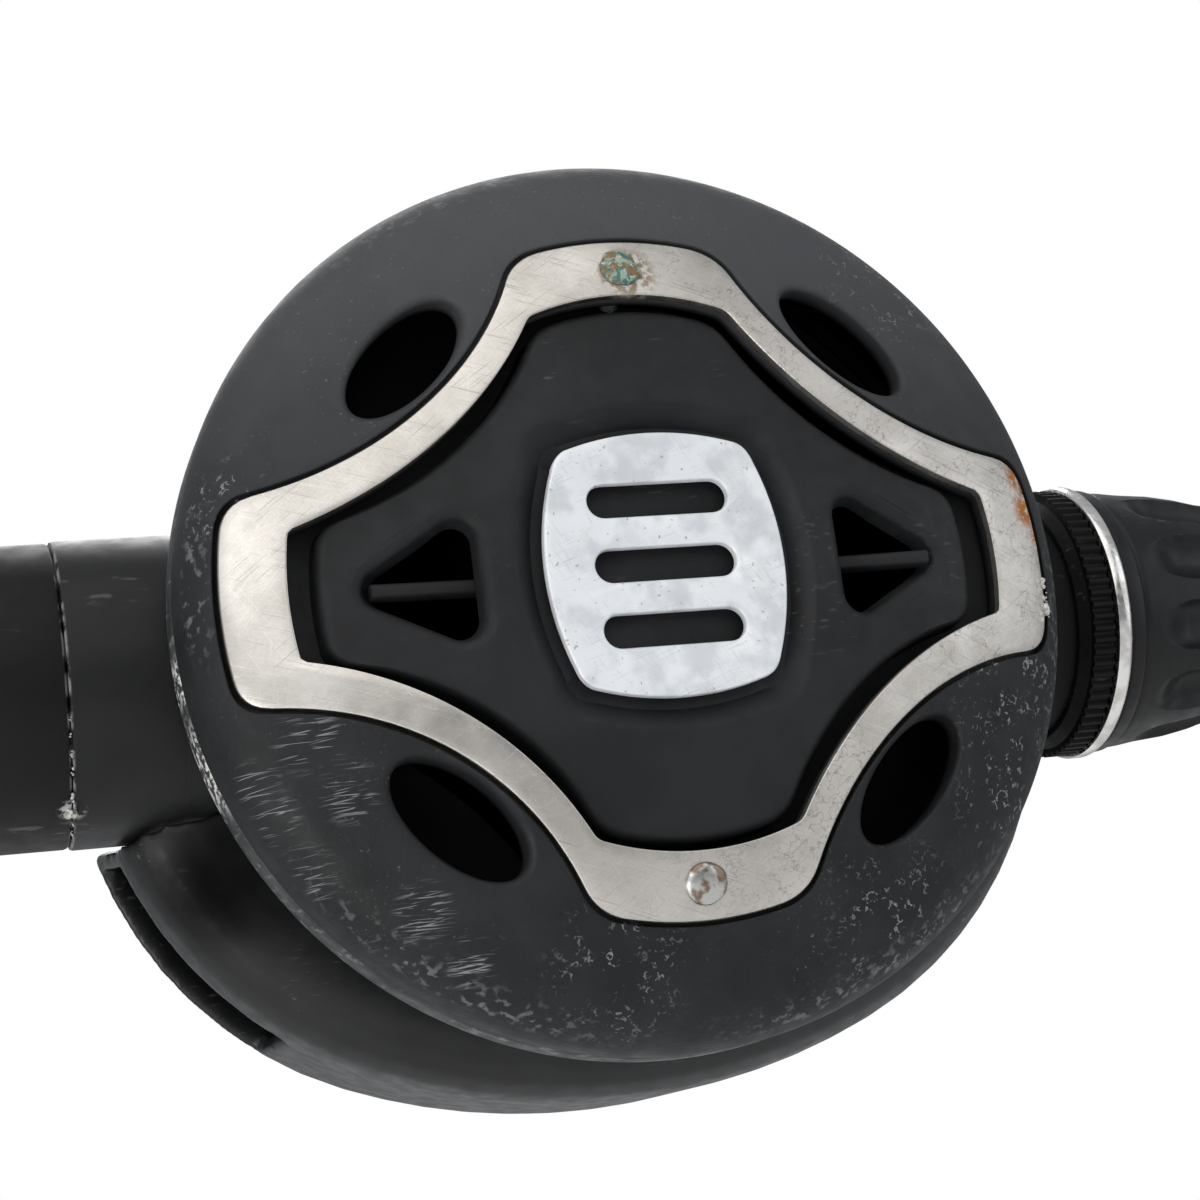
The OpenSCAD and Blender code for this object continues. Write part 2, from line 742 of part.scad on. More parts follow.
// Hollow crescent around the foot of the case, with an outlet in the back edge of each wing. It is one
// surface through sections at the stops, from the left wing's tip to the right one's
module exhaust_tee() {
    stops = concat([for (f = reverse(wing_stops)) [-1, f]], [for (i = [-6:6]) [0, i / 6]], [for (f = wing_stops) [1, f]]);
    rings = [for (stop = stops) tee_ring(stop)];
    n = len(rings[0]);
    mid = n / 2;
    last = len(stops) - 1;
    open_left = [for (i = [0:last]) if (stops[i][0] == -1 && is_outlet(stops[i][1])) i];
    open_right = [for (i = [0:last]) if (stops[i][0] == 1 && is_outlet(stops[i][1])) i];
    outlets = [[open_left[0], max(open_left)], [open_right[0], max(open_right)]];
    function along(i, k) = [i * n + k, (i + 1) * n + k, (i + 1) * n + mid + k, i * n + mid + k];
    function across_ring(i, k) = [i * n + k, i * n + k + 1, i * n + mid + k + 1, i * n + mid + k];
    function is_open(i, k) = heel_at <= k && k < lip_at
        && len([for (o = outlets) if (o[0] <= i && i < o[1]) 1]) > 0;
    walls = [for (i = [0:last - 1], k = [0:mid - 2]) if (!is_open(i, k)) each [
        [i * n + k, (i + 1) * n + k, (i + 1) * n + k + 1, i * n + k + 1],
        [i * n + mid + k, i * n + mid + k + 1, (i + 1) * n + mid + k + 1, (i + 1) * n + mid + k]]];
    feet = [for (i = [0:last - 1]) each [reverse(along(i, 0)), along(i, mid - 1)]];
    tips = [for (k = [0:mid - 2]) each [across_ring(0, k), reverse(across_ring(last, k))]];
    rims = [for (o = outlets, i = [o[0]:o[1] - 1]) each [along(i, heel_at), reverse(along(i, lip_at))]];
    ends = [for (o = outlets, k = [heel_at:lip_at - 1]) each [reverse(across_ring(o[0], k)), across_ring(o[1], k)]];
    color("#17181a") in_case() polyhedron([for (ring = rings, p = ring) p], concat(walls, feet, tips, rims, ends),
        convexity = 10);
}

function reverse(p) = [for (i = [len(p) - 1:-1:0]) p[i]];

// True at the stops of a wing that its outlet spans
function is_outlet(f) = outlet_span[0] <= f && f <= outlet_span[1];

// Centre of the right (s = 1) or left (s = -1) wing, and of the floor (s = 0)
function tee_centre(s) = s == 0 ? [0, floor_up] : [s * wing_at[0], wing_at[1]];

// Angle from straight down of a point with radius r and depth w at a stop. A wing's tip stays under
// the inlet tube
function tee_turn(stop, r, w) = let (drop = barrel_drop + sqrt(max(0, pow(tube_r + tee_clear, 2)
        - pow(w + barrel_deep, 2))), tip = min(wing_end, acos((drop + wing_at[1]) / r)))
    stop[0] == 0 ? floor_half * stop[1] : stop[0] * (floor_half + (tip - floor_half) * stop[1]);

// Radius of the case at depth w
function case_at(w) = w > -case_depth + case_round ? case_r
    : case_r - case_round + sqrt(pow(case_round, 2) - pow(w + case_depth - case_round, 2));

// Point of the shell at a stop with radius r and depth w
function tee_point(stop, r, w) = let (a = tee_turn(stop, r, w), p = tee_centre(stop[0]) + r * [sin(a), -cos(a)])
    [p[0], p[1], w];

// Foot of the shell on the case, at depth w
function tee_foot(stop, w) = let (c = tee_centre(stop[0]), a = tee_turn(stop, wing_r - 8, w), d = [sin(a), -cos(a)],
        p = c + d * (-c * d + sqrt(pow(c * d, 2) - c * c + pow(case_at(w) + tee_gap, 2))))
    [p[0], p[1], w];

// Section at a stop: the outer side from the back to the front, then the inner side
function tee_ring(stop) = [for (t = [0, tee_t]) each concat([tee_foot(stop, tee_back + t)],
    [for (p = tee_edge(stop[0] == 0 ? floor_r : wing_r, t)) tee_point(stop, p[0], p[1])],
    [tee_foot(stop, tee_front - t)])];

// Rounded outer edges of a section with outer radius r, set in by t
function tee_edge(r, t) = concat(arc([r - tee_heel, tee_back + tee_heel], tee_heel - t, -90, 0, 4),
    [[r - t, tee_lip]], arc([r - tee_toe, tee_front - tee_toe], tee_toe - t, 0, 90, 5));

// ---- Mouthpiece ----

// Draws its children about the mouthpiece's axis, with z towards the mouth, from the bite tabs
module to_mouth() {
    rotate([-90, 0, 0]) children();
}

module mouthpiece() {
    curve = 62;
    color("#202124") to_mouth() difference() {
        union() {
            translate([0, 0, -37]) linear_extrude(13.5) stadium(35.2, 27.2);
            hull() {
                translate([0, 0, -24]) linear_extrude(0.5) stadium(35.2, 27.2);
                translate([0, 0, -17]) linear_extrude(0.5) stadium(27, 17);
            }
            translate([0, 0, -17]) linear_extrude(9) stadium(27, 17);
            intersection() {
                translate([0, 20, curve - 12]) rotate([90, 0, 0]) tube(curve, curve - lip_t, 0, 40);
                translate([0, 0, -14]) linear_extrude(20) stadium(lip_size[0], lip_size[1]);
            }
            for (s = [-1, 1]) bite_tab(s);
        }
        translate([0, 0, -38]) linear_extrude(12.2) stadium(mouth_port[0] + 0.2, mouth_port[1] + 0.2);
        translate([0, 0, -27]) linear_extrude(24) stadium(airway[0], airway[1]);
    }
}

// One bite tab with its lug, right (s = 1) or left (s = -1)
module bite_tab(s) {
    translate([s * 20, 0, -0.7]) cube([11, 3.6, 13.4], center = true);
    translate([s * 20, 0, 4.5]) cube([11, 9, 3], center = true);
}

module mouthpiece_tie() {
    color("#151515") to_mouth() {
        translate([0, 0, -32.2]) linear_extrude(3.6) difference() {
            stadium(37.8, 29.8);
            stadium(35.3, 27.3);
        }
        translate([0, 16.4, -30.4]) cube([6.5, 4, 5.6], center = true);
    }
}

module inlet_sleeve() {
    left = -tube_end - 0.15 - sleeve_len;
    r = tube_r - 0.1;
    color("#131416") on_barrel() difference() {
        union() {
            bar(r, left + 1, -tube_end - 0.15);
            translate([0, 0, left]) cylinder(r1 = r - 0.8, r2 = r, h = 1.01);
        }
        bar(r - sleeve_t, left - 1, -tube_end);
    }
}

case_body();
front_cover();
cover_well();
trim_plate();
trim_screws();
purge_button();
emblem_plate();
purge_spring();
diaphragm();
diaphragm_disc();
diaphragm_ring();
valve_barrel();
barrel_nut();
barrel_o_rings();
orifice();
orifice_o_ring();
poppet();
poppet_seat();
poppet_spring();
balance_chamber();
balance_o_ring();
adjust_screw();
adjust_spindle();
spindle_o_ring();
barrel_cap();
demand_lever();
venturi_vane();
venturi_ring();
knob_core();
knob_ring();
knob_grip();
knob_screw();
exhaust_valve();
exhaust_tee();
mouthpiece();
mouthpiece_tie();
inlet_sleeve();
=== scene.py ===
"""Looks of a scuba regulator's second stage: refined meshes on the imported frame, materials, light, camera"""
import json
import math

import bmesh
import bpy
import numpy as np
from mathutils import Matrix, Vector

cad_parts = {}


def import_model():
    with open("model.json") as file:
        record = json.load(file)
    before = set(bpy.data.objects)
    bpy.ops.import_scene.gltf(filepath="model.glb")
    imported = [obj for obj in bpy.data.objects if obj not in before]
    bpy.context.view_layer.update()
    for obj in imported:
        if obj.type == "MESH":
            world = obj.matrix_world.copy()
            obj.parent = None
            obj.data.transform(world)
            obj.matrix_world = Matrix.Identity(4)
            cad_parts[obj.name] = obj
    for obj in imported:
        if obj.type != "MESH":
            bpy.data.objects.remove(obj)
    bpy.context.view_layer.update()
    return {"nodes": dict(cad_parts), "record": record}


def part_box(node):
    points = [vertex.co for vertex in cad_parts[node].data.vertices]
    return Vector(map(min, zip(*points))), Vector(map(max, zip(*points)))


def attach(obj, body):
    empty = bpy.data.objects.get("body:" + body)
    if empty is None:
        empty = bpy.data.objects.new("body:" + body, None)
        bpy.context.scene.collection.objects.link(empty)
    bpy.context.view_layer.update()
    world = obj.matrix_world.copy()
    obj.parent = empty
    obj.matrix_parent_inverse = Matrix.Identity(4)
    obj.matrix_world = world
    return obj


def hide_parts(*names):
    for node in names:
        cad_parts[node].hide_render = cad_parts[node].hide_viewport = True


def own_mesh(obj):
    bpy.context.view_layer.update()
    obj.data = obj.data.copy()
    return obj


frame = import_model()
SLOTS = {part["node"]: part["material_slot"] for part in frame["record"]["subparts"]}

# ---- Places, in millimetres. The cover's frame: x right, y up, w out of the cover, from the seam ----
MM = 0.001
SEAM_GAP = 0.25
cover_lo, cover_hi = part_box("front_cover")
case_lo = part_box("case_body")[0]
ring_lo, ring_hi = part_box("knob_ring")
grip_lo, grip_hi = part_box("knob_grip")
sleeve_lo, sleeve_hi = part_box("inlet_sleeve")
SEAM_Y = case_lo.y - SEAM_GAP * MM
AXIS_Z = (cover_lo.z + cover_hi.z) / 2
BARREL_Y = (ring_lo.y + ring_hi.y) / 2
BARREL_Z = (ring_lo.z + ring_hi.z) / 2

# Cover face: rim radius, shoulder, crown, thickness
COVER_R = (cover_hi.x - cover_lo.x) / 2 / MM
SHOULDER_R = 6.5
EDGE_H = 0.9
CROWN_R = 82.0
COVER_T = 2.4
SHOULDER_X = COVER_R - SHOULDER_R
CROWN_A = math.asin(SHOULDER_X / (CROWN_R - SHOULDER_R))
CROWN_W = EDGE_H - math.sqrt((CROWN_R - SHOULDER_R) ** 2 - SHOULDER_X ** 2)

# Four-lobed outlines: top lobe, side lobe, centre and radius of the hollow flank, corner length
TRIM_OUTER = (27.6, 34.1, (34.05, 35.05), 26.9, 2.3)
TRIM_INNER = (22.4, 29.1, (36.7, 36.7), 32.6, 0.5)
BUTTON_EDGE = (21.6, 26.8, (30.9, 30.4), 25.35, 1.7)
TRIM_LOW = 0.1
TRIM_T = 0.9
TRIM_GAP = 0.35
WELL_GAP = 1.4
WELL_T = 1.5
FLOOR_LOW = 0.7
FLOOR_TOP = 1.6
SPIGOT_R = 34.3
SPIGOT_IN = 32.4
SPIGOT_LOW = -2.5
BUSH_R = 3.8
COLLAR_R = 4.9
COLLAR_H = 0.9
FLOOR_HOLE_OUT = 12.5
FLOOR_HOLE_R = 3
RIM_IN = 34.55
HOLE_OUT = 25.8
HOLE_SIZE = (12.3, 5.9)
SCREW_OUT = 24.9
BUTTON_SET = 1.5
BUTTON_T = 1.8
FLANGE_LOW = 4.4
FLANGE_T = 1.0
FLANGE_OUT = 0.9
SKIRT_T = 1.4
POST_R = 3.4
POST_LOW = -1.4
SPRING_TOP = 9.6
WINDOW_X = 16.3
EMBLEM_HALF = (9.7, 10.6)
EMBLEM_BOW = 22.2
EMBLEM_SLOTS = (-5.2, 0.0, 5.2)
EMBLEM_T = 0.8
EMBLEM_LOW = (SEAM_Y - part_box("emblem_plate")[1].y) / MM

DIMPLES = 11
TURN = np.arange(480) * 2 * math.pi / 480
ROUND = np.arange(528) * 2 * math.pi / 528


# ---- Shapes ----

def from_cover(points):
    """Points of the cover's frame, in millimetres, as points of the row's frame, in metres"""
    p = np.asarray(points, float)
    return np.stack([p[:, 0] * MM, SEAM_Y - p[:, 2] * MM, AXIS_Z + p[:, 1] * MM], 1)


def about_barrel(x, radius):
    """Ring of points about the barrel's axis at x, in millimetres"""
    r = np.broadcast_to(np.asarray(radius, float), ROUND.shape) * MM
    across, up = BARREL_Y + r * np.cos(ROUND), BARREL_Z + r * np.sin(ROUND)
    return np.stack([np.full(ROUND.shape, x * MM), across, up], 1)


def arc(centre, radius, start, stop, count):
    a = np.linspace(start, stop, count)
    return np.stack([centre[0] + radius * np.cos(a), centre[1] + radius * np.sin(a)], 1)


def bend(start, corner, stop, count=9):
    """Rounded corner from start to stop, drawn towards corner"""
    t = np.linspace(0, 1, count)[:, None]
    return (1 - t) ** 2 * np.asarray(start) + 2 * t * (1 - t) * np.asarray(corner) + t * t * np.asarray(stop)


def polar_radius(quarter):
    """Radius at each turn of an outline given by the points of its first quarter"""
    angle = np.arctan2(quarter[:, 1], quarter[:, 0])
    order = np.argsort(angle)
    fold = np.arctan2(np.abs(np.sin(TURN)), np.abs(np.cos(TURN)))
    return np.interp(fold, angle[order], np.hypot(quarter[:, 0], quarter[:, 1])[order])


def lobed(shape, grow=0.0):
    """Radius at each turn of a four-lobed outline, grown by grow"""
    top, side, flank, corner = shape[0] + grow, shape[1] + grow, shape[3] - grow, shape[4]
    centre = np.array(shape[2])
    reach = float(np.hypot(*centre))

    def meet(radius, sign):
        lean = math.acos((radius ** 2 + reach ** 2 - flank ** 2) / (2 * radius * reach))
        return math.atan2(centre[1], centre[0]) + sign * lean

    a, b = meet(top, 1), meet(side, -1)
    p, q = top * np.array([math.cos(a), math.sin(a)]), side * np.array([math.cos(b), math.sin(b)])
    p_turn = math.atan2(*(p - centre)[::-1]) + corner / flank
    q_turn = math.atan2(*(q - centre)[::-1]) - corner / flank
    at_top = arc((0, 0), top, math.pi / 2, a + corner / top, 20)
    hollow = arc(centre, flank, p_turn, q_turn, 60)
    at_side = arc((0, 0), side, b - corner / side, 0, 20)
    return polar_radius(np.concatenate([at_top, bend(at_top[-1], p, hollow[0]), hollow,
                                        bend(hollow[-1], q, at_side[0]), at_side]))


def emblem_edge(grow=0.0):
    """Radius at each turn of the emblem's bowed square, grown by grow"""
    w, h, bow = EMBLEM_HALF[0] + grow, EMBLEM_HALF[1] + grow, EMBLEM_BOW + grow
    up = arc((0, h - bow), bow, math.pi / 2, math.radians(72.5), 20)
    out = arc((w - bow, 0), bow, math.radians(20.5), 0, 20)
    return polar_radius(np.concatenate([up, bend(up[-1], (w - 1.85, h - 1.28), out[0], 15), out]))


def face_height(radius, inset=0.0):
    """Height of the cover's face, set in by inset, at a radius"""
    r = np.asarray(radius, float)
    crown = CROWN_W + np.sqrt((CROWN_R - inset) ** 2 - np.minimum(r, COVER_R) ** 2)
    shoulder = EDGE_H + np.sqrt(np.maximum((SHOULDER_R - inset) ** 2 - (r - SHOULDER_X) ** 2, 0))
    return np.where(r < (CROWN_R - inset) * math.sin(CROWN_A), crown, shoulder)


def face_run(radius):
    """Length along the face from its middle to a radius"""
    r = np.asarray(radius, float)
    on_crown = CROWN_R * np.arcsin(np.minimum(r, COVER_R) / CROWN_R)
    lean = np.arcsin(np.clip((r - SHOULDER_X) / SHOULDER_R, -1, 1))
    return np.where(r < CROWN_R * math.sin(CROWN_A), on_crown,
                    CROWN_R * CROWN_A + SHOULDER_R * (lean - CROWN_A))


def face_at(run):
    """Radius and height of the face at a length along it"""
    crown_end = CROWN_R * CROWN_A
    lean = CROWN_A + np.maximum(run - crown_end, 0) / SHOULDER_R
    on_crown = run < crown_end
    radius = np.where(on_crown, CROWN_R * np.sin(run / CROWN_R), SHOULDER_X + SHOULDER_R * np.sin(lean))
    height = np.where(on_crown, CROWN_W + CROWN_R * np.cos(run / CROWN_R), EDGE_H + SHOULDER_R * np.cos(lean))
    return radius, height


def polar(radius, height):
    """Ring of points in the cover's frame, one for each turn"""
    r = np.broadcast_to(np.asarray(radius, float), TURN.shape)
    w = np.broadcast_to(np.asarray(height, float), TURN.shape)
    return np.stack([r * np.cos(TURN), r * np.sin(TURN), w], 1)


def loft(rings, closed=False):
    """Points and faces of a surface through rings. A closed one joins its last ring to its first, and
    an open one ends in a fan at each end"""
    n, count = len(rings[0]), len(rings)
    points = np.concatenate(rings)
    pairs = [(i, (i + 1) % count) for i in range(count if closed else count - 1)]
    faces = [(i * n + k, i * n + (k + 1) % n, j * n + (k + 1) % n, j * n + k)
             for i, j in pairs for k in range(n)]
    if not closed:
        points = np.concatenate([points, [rings[0].mean(0)], [rings[-1].mean(0)]])
        last = (count - 1) * n
        faces += [((k + 1) % n, k, count * n) for k in range(n)]
        faces += [(last + k, last + (k + 1) % n, count * n + 1) for k in range(n)]
    return points, faces


def join(*solids):
    """Several point and face lists as one"""
    points, faces, start = [], [], 0
    for p, f in solids:
        points.append(np.asarray(p, float))
        faces += [tuple(start + k for k in face) for face in f]
        start += len(p)
    return np.concatenate(points), faces


def shade(mesh, sharp):
    mesh.shade_smooth()
    mesh.set_sharp_from_angle(angle=math.radians(sharp))


def make(name, solid, sharp=32):
    """Object of a point and face list in the row's frame"""
    mesh = bpy.data.meshes.new(name)
    mesh.from_pydata([tuple(p) for p in solid[0]], [], solid[1])
    shell = bmesh.new()
    shell.from_mesh(mesh)
    bmesh.ops.recalc_face_normals(shell, faces=shell.faces)
    shell.to_mesh(mesh)
    shell.free()
    shade(mesh, sharp)
    piece = bpy.data.objects.new(name, mesh)
    bpy.context.scene.collection.objects.link(piece)
    return piece


def make_in_cover(name, rings, sharp=32, closed=False):
    """Object of rings of points of the cover's frame"""
    points, faces = loft(rings, closed)
    return make(name, (from_cover(points), faces), sharp)


def make_about_barrel(name, profile, sharp=32):
    """Object turned about the barrel's axis from a closed profile, each point of it a radius and an x"""
    return make(name, loft([about_barrel(x, r) for r, x in profile], closed=True), sharp)


def settle(piece, sharp=32):
    """Turns a piece's modifiers into its mesh"""
    mesh = bpy.data.meshes.new_from_object(piece.evaluated_get(bpy.context.evaluated_depsgraph_get()))
    piece.modifiers.clear()
    piece.data = mesh
    shade(mesh, sharp)
    return piece


def cut(piece, cutter, sharp=32):
    """Takes the cutter's solid out of a piece"""
    change = piece.modifiers.new("cut", "BOOLEAN")
    change.operation = "DIFFERENCE"
    change.solver = "EXACT"
    change.object = cutter
    settle(piece, sharp)
    bpy.data.objects.remove(cutter)
    return piece


def soften(name, node, voxel, rounds):
    """Copy of a CAD node with its edges rounded: remeshed at a voxel size in millimetres, then smoothed"""
    mesh = frame["nodes"][node].data.copy()
    shell = bmesh.new()
    shell.from_mesh(mesh)
    bmesh.ops.remove_doubles(shell, verts=shell.verts, dist=1e-6)
    shell.to_mesh(mesh)
    shell.free()
    mesh.name = name
    mesh.materials.clear()
    piece = bpy.data.objects.new(name, mesh)
    bpy.context.scene.collection.objects.link(piece)
    grid = piece.modifiers.new("remesh", "REMESH")
    grid.mode = "VOXEL"
    grid.voxel_size = voxel * MM
    relax = piece.modifiers.new("smooth", "SMOOTH")
    relax.factor = 0.5
    relax.iterations = rounds
    return settle(piece, 180)


# ---- Materials ----

class Look:
    """A node material whose coordinates are millimetres of the row's frame"""

    def __init__(self, name, rough, metal=0.0, specular=0.5):
        self.material = bpy.data.materials.new(name)
        self.material.use_nodes = True
        self.tree = self.material.node_tree
        self.shader = self.tree.nodes["Principled BSDF"]
        self.shader.inputs["Roughness"].default_value = rough
        self.shader.inputs["Metallic"].default_value = metal
        self.shader.inputs["Specular IOR Level"].default_value = specular
        self.place = self.vector("SCALE", self.node("ShaderNodeTexCoord").outputs["Object"], scale=1 / MM)

    def node(self, kind, **settings):
        made = self.tree.nodes.new(kind)
        for key, value in settings.items():
            setattr(made, key, value)
        return made

    def put(self, socket, value):
        if isinstance(value, bpy.types.NodeSocket):
            self.tree.links.new(value, socket)
        else:
            socket.default_value = value

    def vector(self, operation, a, b=None, scale=None):
        made = self.node("ShaderNodeVectorMath", operation=operation)
        self.put(made.inputs[0], a)
        if b is not None:
            self.put(made.inputs[1], b)
        if scale is not None:
            made.inputs["Scale"].default_value = scale
        return made.outputs["Value" if operation in ("LENGTH", "DISTANCE") else "Vector"]

    def math(self, operation, a, b=0.0):
        made = self.node("ShaderNodeMath", operation=operation)
        self.put(made.inputs[0], a)
        self.put(made.inputs[1], b)
        return made.outputs[0]

    def times(self, a, b):
        return self.math("MULTIPLY", a, b)

    def between(self, value, low, high, to_low=0.0, to_high=1.0):
        """value's way from low to high, eased, as a number from to_low to to_high"""
        made = self.node("ShaderNodeMapRange", interpolation_type="SMOOTHSTEP")
        for key, number in zip(("Value", "From Min", "From Max", "To Min", "To Max"),
                               (value, low, high, to_low, to_high)):
            self.put(made.inputs[key], number)
        return made.outputs["Result"]

    def noise(self, size, detail=2.0, stretch=(1, 1, 1), shift=0.0, place=None):
        """Noise with lumps of about size millimetres, longer along the axes that stretch names"""
        spread = self.vector("MULTIPLY", place or self.place,
                             tuple(1 / (size * s) if s else 0 for s in stretch))
        moved = self.vector("ADD", spread, (shift, shift * 1.7, shift * 0.6))
        made = self.node("ShaderNodeTexNoise")
        made.inputs["Scale"].default_value = 1.0
        made.inputs["Detail"].default_value = detail
        self.tree.links.new(moved, made.inputs["Vector"])
        return made.outputs["Fac"]

    def patches(self, size, detail, low, high, to_low=0.0, to_high=1.0, **noise):
        """Noise between low and high, eased, as a number from to_low to to_high"""
        return self.between(self.noise(size, detail, **noise), low, high, to_low, to_high)

    def strokes(self, turn, length, width, low, high, shift=0.0):
        """Fine lines in the plane of the cover, turned by an angle in degrees"""
        turned = self.node("ShaderNodeVectorRotate", rotation_type="Y_AXIS")
        self.tree.links.new(self.place, turned.inputs["Vector"])
        turned.inputs["Angle"].default_value = math.radians(turn)
        lines = self.noise(1, 1.0, (length, 0, width), shift, turned.outputs[0])
        return self.between(lines, low, high)

    def facing(self):
        """1 where the surface looks out of the cover, 0 on its walls"""
        split = self.node("ShaderNodeSeparateXYZ")
        self.tree.links.new(self.node("ShaderNodeTexCoord").outputs["Normal"], split.inputs[0])
        return self.between(split.outputs["Y"], -0.3, -0.55)

    def near(self, spot, inner, outer, flat=True):
        """1 within inner millimetres of a spot of the cover's frame, 0 beyond outer"""
        x, y, w = spot
        seen = self.vector("MULTIPLY", self.place, (1, 0 if flat else 1, 1))
        here = (x, 0 if flat else SEAM_Y / MM - w, AXIS_Z / MM + y)
        return self.between(self.vector("DISTANCE", seen, here), outer, inner)

    def spots(self, *places):
        """Near for several spots at once, each of them given as x, y, inner and outer"""
        return self.total(*[self.near((x, y, 0), inner, outer) for x, y, inner, outer in places])

    def apart(self, axis):
        """Place along one axis, in millimetres"""
        split = self.node("ShaderNodeSeparateXYZ")
        self.tree.links.new(self.place, split.inputs[0])
        return split.outputs[axis]

    def mix(self, share, a, b):
        made = self.node("ShaderNodeMix", data_type="RGBA")
        self.put(made.inputs["Factor"], share)
        self.put(made.inputs[6], a if isinstance(a, bpy.types.NodeSocket) else (*a, 1))
        self.put(made.inputs[7], b if isinstance(b, bpy.types.NodeSocket) else (*b, 1))
        return made.outputs[2]

    def bump(self, height, depth, normal=None):
        """Relief of depth millimetres"""
        made = self.node("ShaderNodeBump")
        made.inputs["Distance"].default_value = depth * MM
        made.inputs["Strength"].default_value = 1.0
        self.put(made.inputs["Height"], height)
        if normal is not None:
            self.tree.links.new(normal, made.inputs["Normal"])
        return made.outputs[0]

    def painted_shade_under_tube(self, tone, specular):
        """Painted shade: darker and duller in the hollow between the inlet tube and the tee below it, where
        light hardly reaches
        """
        hollow = self.near((-37, -20.5, -7), 4, 10.5, False)
        self.put(self.shader.inputs["Specular IOR Level"], self.between(hollow, 0, 1, specular, 0.02))
        return self.mix(hollow, tone, (0.001, 0.001, 0.001))

    def finish(self, colour=None, rough=None, normal=None, metal=None):
        for key, value in (("Base Color", colour), ("Roughness", rough), ("Normal", normal),
                           ("Metallic", metal)):
            if value is not None:
                self.put(self.shader.inputs[key], value)
        return self.material

    def total(self, *values):
        """Sum of several masks, at most 1"""
        out = values[0]
        for value in values[1:]:
            out = self.math("ADD", out, value)
        return self.math("MINIMUM", out, 1.0)


def moulded(name, colour, rough, grain=0.25, depth=0.012, wear=0.0, specular=0.5, with_painted_shade=False):
    """Moulded plastic or rubber: fine grain, faint mottling, light scuffs where wear is above 0, and painted
    shade in the hollow under the inlet tube where asked
    """
    look = Look(name, rough, specular=specular)
    cloud = look.patches(7.0, 3.0, 0.35, 0.65)
    tone = look.mix(cloud, tuple(c * 0.82 for c in colour), tuple(c * 1.22 for c in colour))
    if wear:
        patch = look.patches(9.0, 2.0, 0.5, 0.68, shift=3.1)
        lines = look.patches(0.5, 3.0, 0.6, 0.72, stretch=(4, 1, 0.8))
        marks = look.times(look.times(patch, lines), wear)
        tone = look.mix(marks, tone, (0.2, 0.2, 0.2))
    # Painted shade: darker and duller in the hollow under the inlet tube
    if with_painted_shade:
        tone = look.painted_shade_under_tube(tone, specular)
    roughness = look.patches(1.6, 3.0, 0.3, 0.7, rough - 0.06, rough + 0.08, shift=7.0)
    relief = look.bump(look.noise(grain, 3.0), depth)
    relief = look.bump(look.noise(5.0, 2.0, shift=5.0), 0.05, relief)
    return look.finish(tone, roughness, relief)


def metal(name, colour, rough, stretch=(1, 1, 1), size=0.3):
    """Machined or drawn metal, with its tool marks stretched along an axis"""
    look = Look(name, rough, metal=1.0)
    marks = look.noise(size, 3.0, stretch)
    tone = look.mix(look.patches(4.0, 3.0, 0.35, 0.7), colour, tuple(c * 0.78 for c in colour))
    roughness = look.between(marks, 0.3, 0.7, rough * 0.75, rough * 1.35)
    return look.finish(tone, roughness, look.bump(marks, 0.004))


